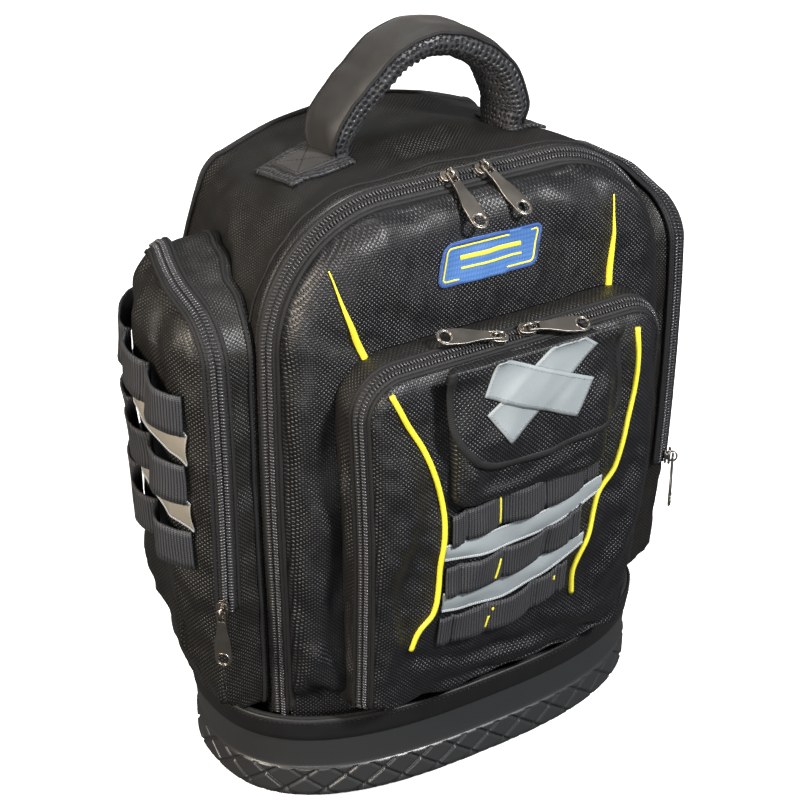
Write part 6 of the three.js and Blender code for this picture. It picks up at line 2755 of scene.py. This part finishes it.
    def slider(self, bench: Bench, axes: tuple[Array, Array, Array, Array]) -> None:
        """Adds the slider's two plates, its neck and the bail that holds the tab.

        Args:
            bench: Where the pieces are made.
            axes: The plate's origin and directions.
        """
        floor = -(self.slider_height + self.axis_lift)
        long, wide = (13.0, 9.0) if self.along_tab else (9.0, 13.0)
        a = np.linspace(0, 2 * math.pi, 40, endpoint=False)
        c, s = np.cos(a), np.sin(a)
        round_x = np.sign(c) * np.abs(c) ** 0.7 * long / 2
        round_y = np.sign(s) * np.abs(s) ** 0.7 * wide / 2
        if self.along_tab:
            round_y = round_y * (1 - 0.22 * (round_x / (long / 2) * 0.5 + 0.5))
        else:
            round_x = round_x * (1 - 0.22 * (round_y / (wide / 2) * 0.5 + 0.5))
        outline = np.stack([round_x, round_y], -1)
        top = self.plate([outline], floor + 2.5, floor + self.slider_height, 0.5, axes)
        self.finish(bench, top, f"slider_{self.name}_top", "bag", f"slider_{self.name}")
        low = self.plate([outline * 0.96], floor + 0.1, floor + 1.4, 0.4, axes)
        self.finish(bench, low, f"slider_{self.name}_base", "bag", "")
        neck = self.plate([outline * 0.5], floor + 1.2, floor + 2.8, 0.1, axes)
        self.finish(bench, neck, f"slider_{self.name}_neck", "bag", "")
        radius = self.bail_inner + self.bail_wire / 2
        turn = np.linspace(0, math.pi, 21)
        arc = stack(-radius * np.cos(turn) * 1.25, 0, radius * np.sin(turn))
        path = np.concatenate([[[-radius * 1.25, 0, floor + 3.6]], arc, [[radius * 1.25, 0, floor + 3.6]]])
        ups = np.tile([0.0, 1.0, 0.0], (len(path), 1))
        bail = sweep(path, ups, round_profile(self.bail_wire / 2, 8) * np.array([1, 1.5]))
        bench.add(f"slider_{self.name}_bail", self.place(bail, axes), Cloths.nickel)


STRAP_SPREAD: Table = ((0, 1), (0.28, 0.75), (0.55, 0.4), (0.78, 0.15), (0.93, 0.04), (1, 0))


def cad_shape(node: bpy.types.Object) -> Shape:
    """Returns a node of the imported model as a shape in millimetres."""
    points = np.array([v.co for v in node.data.vertices]) / MM
    return Shape(points, [list(f.vertices) for f in node.data.polygons], points[:, :2])


@dataclass
class Harness:
    """The back panel, shoulder straps, buckles and strap tails."""

    pad_half: float = 84
    pad_top: float = 372
    pad_foot: float = 104
    pad_thickness: float = 10
    strap_width: float = 58
    strap_thickness: float = 9
    strap_spacing: float = 50

    def panel(self, bench: Bench, body: Shape) -> Shape:
        """Adds the padded back panel with its sewn channels and returns it.

        Args:
            bench: Where the pieces are made.
            body: The cloth behind it.

        Returns:
            The closed mesh, in millimetres.
        """
        s, t = np.meshgrid(np.linspace(-1, 1, 81), np.linspace(0, 1, 121))
        half = self.pad_half * (1 - 0.1 * t - 0.12 * np.abs(2 * t - 1) ** 6)
        places = np.stack([s * half, mix(self.pad_foot, self.pad_top, t)], -1)
        grid = Surface(body).drape(places, Side.BACK, 0.3, 20)
        out = Side.BACK.outward()
        edge = np.minimum(1 - np.abs(s), np.minimum(t, 1 - t) * 3.2)
        rise = self.pad_thickness * np.clip(edge / 0.1, 0, 1) ** 0.5
        channels = np.exp(-((np.abs(s) - 0.34) / 0.035) ** 2)
        for level in (0.25, 0.5, 0.75):
            channels = np.maximum(channels, np.exp(-(((t - level) / 0.014) ** 2)) * (np.abs(s) > 0.34))
        rise = np.maximum(rise * (1 - 0.62 * channels), 1.2)
        grid = grid + out * rise[..., None]
        lower = grid - out * rise[..., None] + out * 0.1
        shape = self.filled(grid, lower, places)
        made = bench.add("back_panel_padding", shape, Cloths.mesh, replaces=["back_panel"])
        Padding().swell(made)
        rim = np.concatenate([grid[0], grid[1:, -1], grid[-1][::-1], grid[::-1, 0]])
        bench.add(
            "back_panel_binding",
            sweep(rim, np.tile(out, (len(rim), 1)), round_profile(2.2, 8)),
            Cloths.binding,
        )
        return shape

    @staticmethod
    def filled(upper: Array, lower: Array, thread: Array) -> Shape:
        """Returns a closed pad between an outer and an inner grid.

        Args:
            upper: The outer grid.
            lower: The inner grid.
            thread: Thread coordinates for each point.

        Returns:
            The closed mesh, in millimetres.
        """
        rows, columns = upper.shape[:2]
        total = rows * columns
        outer_first = float(
            np.dot(np.cross(upper[1, 2] - upper[1, 1], upper[2, 1] - upper[1, 1]), upper[1, 1] - lower[1, 1])
        ) > 0
        faces = cells(
            rows, columns, False, 0, not outer_first
        ) + cells(rows, columns, False, total, outer_first)
        for i in (0, rows - 1):
            for j in range(columns - 1):
                p, q = i * columns + j, i * columns + j + 1
                face = [q, p, p + total, q + total]
                faces.append(face if (i == 0) == outer_first else face[::-1])
        for j in (0, columns - 1):
            for i in range(rows - 1):
                p, q = i * columns + j, (i + 1) * columns + j
                face = [p, q, q + total, p + total]
                faces.append(face if (j == 0) == outer_first else face[::-1])
        flat = thread.reshape(-1, 2)
        return Shape(
            np.concatenate([upper.reshape(-1, 3), lower.reshape(-1, 3)]), faces, np.concatenate([flat, flat])
        )

    def strap(self, bench: Bench, label: str, sign: int) -> None:
        """Adds a shoulder strap with its buckle and tail.

        Args:
            bench: Where the pieces are made.
            label: left or right.
            sign: -1 on the left, 1 on the right.
        """
        node = frame["nodes"][f"shoulder_strap_{label}"]
        low, high = (np.array(p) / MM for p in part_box(node.name))
        fine = np.linspace(low[2] + 1, high[2] - 1, 120)
        spread = curve_through(STRAP_SPREAD, (fine - low[2]) / (high[2] - low[2]))
        x = sign * mix(self.strap_spacing, self.strap_spacing + 14, spread)
        outer = Surface(cad_shape(node)).lay(np.stack([x, fine], -1), Side.BACK)[0][:, 1]
        eased = np.convolve(np.pad(outer, 8, mode="edge"), np.ones(17) / 17, mode="valid")
        path = stack(x, eased - self.strap_thickness / 2, fine)
        along = unit(np.gradient(path, axis=0))
        across = np.tile([1.0, 0.0, 0.0], (len(path), 1))
        out = unit(np.cross(across, along))
        out = out if out[60, 1] > 0 else -out
        s = np.linspace(-1, 1, 41)
        taper = 1 - 0.35 * (1 - smooth(0, 0.12, np.linspace(0, 1, 120)))
        half = self.strap_width / 2 * 0.96 * taper
        rise = (self.strap_thickness / 2) * np.clip((1 - np.abs(s)) / 0.12, 0, 1) ** 0.5
        quilt = 1 - 0.12 * np.sin(np.linspace(0, 12 * math.pi, 120)) ** 8
        upper = path[:, None, :] + across[:, None, :] * (half[:, None] * s)[..., None] + out[:, None, :] * (
            rise[None, :] * quilt[:, None]
        )[..., None]
        lower = path[:, None, :] + across[:, None, :] * (half[:, None] * s)[..., None] - out[:, None, :] * (rise[None, :] * 0.96 + 0.05)[..., None]
        thread = np.stack(np.broadcast_arrays(half[:, None] * s, fine[:, None]), -1).astype(float)
        made = bench.add(
            f"shoulder_strap_{label}_padding",
            self.filled(upper, lower, thread),
            Cloths.pack,
            replaces=[f"shoulder_strap_{label}"],
        )
        Padding().swell(made)
        for k, column in enumerate((0, -1)):
            line = (upper[:, column] + lower[:, column]) / 2
            bench.add(
                f"shoulder_strap_{label}_binding_{k + 1}",
                sweep(line, out, round_profile(2.4, 8)),
                Cloths.binding,
            )
        self.buckle(bench, label)

    def buckle(self, bench: Bench, label: str) -> None:
        """Adds the ladder buckle and the webbing tail below it.

        Args:
            bench: Where the pieces are made.
            label: left or right.
        """
        low, high = (np.array(p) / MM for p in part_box(f"strap_buckle_{label}"))
        middle = (low + high) / 2
        half_x, half_z = (high[0] - low[0]) / 2, (high[2] - low[2]) / 2
        a = np.linspace(0, 2 * math.pi, 48, endpoint=False)
        frame_path = stack(
            middle[0] + np.sign(np.cos(a)) * np.abs(np.cos(a)) ** 0.5 * (half_x - 2.5),
            middle[1],
            middle[2] + np.sign(np.sin(a)) * np.abs(np.sin(a)) ** 0.5 * (half_z - 2.5),
        )
        ups = np.tile([0.0, 1.0, 0.0], (len(frame_path), 1))
        parts = [sweep(frame_path, ups, round_profile(2.4, 8), True)]
        for dz in (-7.0, 0.0, 6.0):
            bar = stack(np.linspace(-half_x + 2, half_x - 2, 9) + middle[0], middle[1], middle[2] + dz)
            parts.append(sweep(bar, np.tile([0.0, 1.0, 0.0], (9, 1)), round_profile(1.7, 8)))
        bench.add(
            f"strap_buckle_{label}_frame",
            Shape.joined(parts),
            Cloths.acetal,
            replaces=[f"strap_buckle_{label}"],
        )
        node = frame["nodes"][f"strap_tail_{label}"]
        low, high = (np.array(p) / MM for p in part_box(node.name))
        fine = np.linspace(low[2] + 0.5, high[2] - 0.5, 40)
        path = Surface(cad_shape(node)).lay(
            np.stack([np.full(40, (low[0] + high[0]) / 2), fine], -1), Side.BACK, -1.6
        )[0]
        path[:, 1] = np.convolve(np.pad(path[:, 1], 4, mode="edge"), np.ones(9) / 9, mode="valid")
        bench.add(
            f"strap_tail_{label}_webbing",
            sweep(path, np.tile([0.0, 1.0, 0.0], (40, 1)), flat_profile(25, 1.5)),
            Cloths.webbing,
            replaces=[f"strap_tail_{label}"],
        )

    def build(self, bench: Bench, body: Shape) -> None:
        """Adds the whole harness.

        Args:
            bench: Where the pieces are made.
            body: The cloth behind it.
        """
        self.panel(bench, body)
        self.strap(bench, "left", -1)
        self.strap(bench, "right", 1)


@dataclass
class Studio:
    """Pale floor, soft lights and the camera at the photograph's angle."""

    azimuth: float = -31.87
    elevation: float = 29.05
    roll: float = -0.1
    distance: float = 1298.82
    target: tuple[float, float, float] = (-18.80, -13.93, 253.62)
    lens: float = 86.49
    surroundings: float = 0.1

    def camera(self) -> None:
        """Adds the camera."""
        data = bpy.data.cameras.new("photo_camera")
        data.lens = self.lens
        data.sensor_width = 36
        data.clip_end = 20
        made = bpy.data.objects.new("photo_camera", data)
        a, e = math.radians(self.azimuth), math.radians(self.elevation)
        back = Vector((math.sin(a) * math.cos(e), -math.cos(a) * math.cos(e), math.sin(e)))
        made.location = Vector(self.target) * MM + back * self.distance * MM
        made.rotation_mode = "QUATERNION"
        made.rotation_quaternion = (-back).to_track_quat("-Z", "Y")
        turn = Matrix.Rotation(math.radians(self.roll), 4, "Z")
        made.rotation_quaternion = (made.rotation_quaternion.to_matrix().to_4x4() @ turn).to_quaternion()
        bpy.context.scene.collection.objects.link(made)
        bpy.context.scene.camera = made

    def lamp(
        self, name: str, place: tuple[float, float, float], size: float, power: float, colour: str
    ) -> None:
        """Adds a square soft light that looks at the bag.

        Args:
            name: The piece's name.
            place: Where it stands, in metres.
            size: Size in millimetres.
            power: Its power in watts.
            colour: Its sRGB hex colour.
        """
        data = bpy.data.lights.new(name, "AREA")
        data.size = size
        data.energy = power
        data.color = linear(colour)[:3]
        made = bpy.data.objects.new(name, data)
        made.location = place
        aim = Vector((0, 0, 0.22)) - Vector(place)
        made.rotation_mode = "QUATERNION"
        made.rotation_quaternion = aim.to_track_quat("-Z", "Y")
        bpy.context.scene.collection.objects.link(made)

    def floor(self) -> None:
        """Adds the white floor and far walls, which light nothing themselves, and the grey surroundings."""
        mesh = bpy.data.meshes.new("studio_floor")
        ring = [(-9, -9), (9, -9), (9, 9), (-9, 9)]
        corners = [(x, y, z) for z in (-0.0005, 9) for x, y in ring]
        walls = [[k, (k + 1) % 4, (k + 1) % 4 + 4, k + 4] for k in range(4)]
        mesh.from_pydata(corners, [], [[0, 1, 2, 3], *walls])
        paper = bpy.data.materials.new("lit_white_paper")
        paper.use_nodes = True
        shader = paper.node_tree.nodes["Principled BSDF"]
        shader.inputs["Base Color"].default_value = linear("#f6f6f6")
        shader.inputs["Roughness"].default_value = 0.9
        shader.inputs["Emission Color"].default_value = (1, 1, 1, 1)
        shader.inputs["Emission Strength"].default_value = 0.85
        mesh.materials.append(paper)
        made = bpy.data.objects.new("studio_floor", mesh)
        made.visible_glossy = False
        made.visible_diffuse = False
        made.visible_shadow = False
        bpy.context.scene.collection.objects.link(made)
        world = bpy.data.worlds.new("studio_surroundings")
        world.use_nodes = True
        ground = world.node_tree.nodes["Background"]
        ground.inputs["Color"].default_value = (1, 1, 1, 1)
        ground.inputs["Strength"].default_value = self.surroundings
        bpy.context.scene.world = world

    def build(self) -> None:
        """Adds everything that isn't the bag."""
        self.camera()
        self.floor()
        self.lamp("key_light", (0.55, -1.7, 1.9), 0.3, 95, "#ffffff")
        self.lamp("side_light", (-2.0, -0.3, 1.3), 0.5, 62, "#fff1e0")
        self.lamp("top_light", (0.1, 0.6, 2.2), 0.8, 13, "#ffffff")
        self.lamp("low_light", (-1.3, -1.8, 0.35), 0.5, 15, "#ffffff")
        bpy.context.scene.view_settings.view_transform = "Standard"


def main() -> None:
    """Builds the bag piece by piece and logs each."""
    logging.basicConfig(level=logging.INFO, format="%(name)s: %(message)s")
    Studio().build()
    bench = Bench()
    Boot().build(bench)
    rear = RearShell().build(bench)
    tape = MainZip().build(bench)
    lid = FrontLid().build(bench)
    cover = FrontPocket().build(bench, lid)
    small = FlapPocket().build(bench, cover)
    front_ladder().build(bench, [cover])
    Piping().build(bench, lid, cover)
    LabelPatch().build(bench, lid)
    SidePocket(-1, "left", 1.0).build(bench, [rear, tape])
    SidePocket(1, "right", 0.55).build(bench, [rear, tape])
    Handle().build(bench, rear)
    for name in ("main_left", "main_right", "pocket_left", "pocket_right", "side_left", "side_right"):
        PullTab(name, not name.startswith("main")).build(bench)
    Harness().build(bench, rear)
    for piece in bench.pieces:
        LOG.info("%s: %d faces", piece.name, len(piece.data.polygons))


if __name__ == "__main__":
    main()
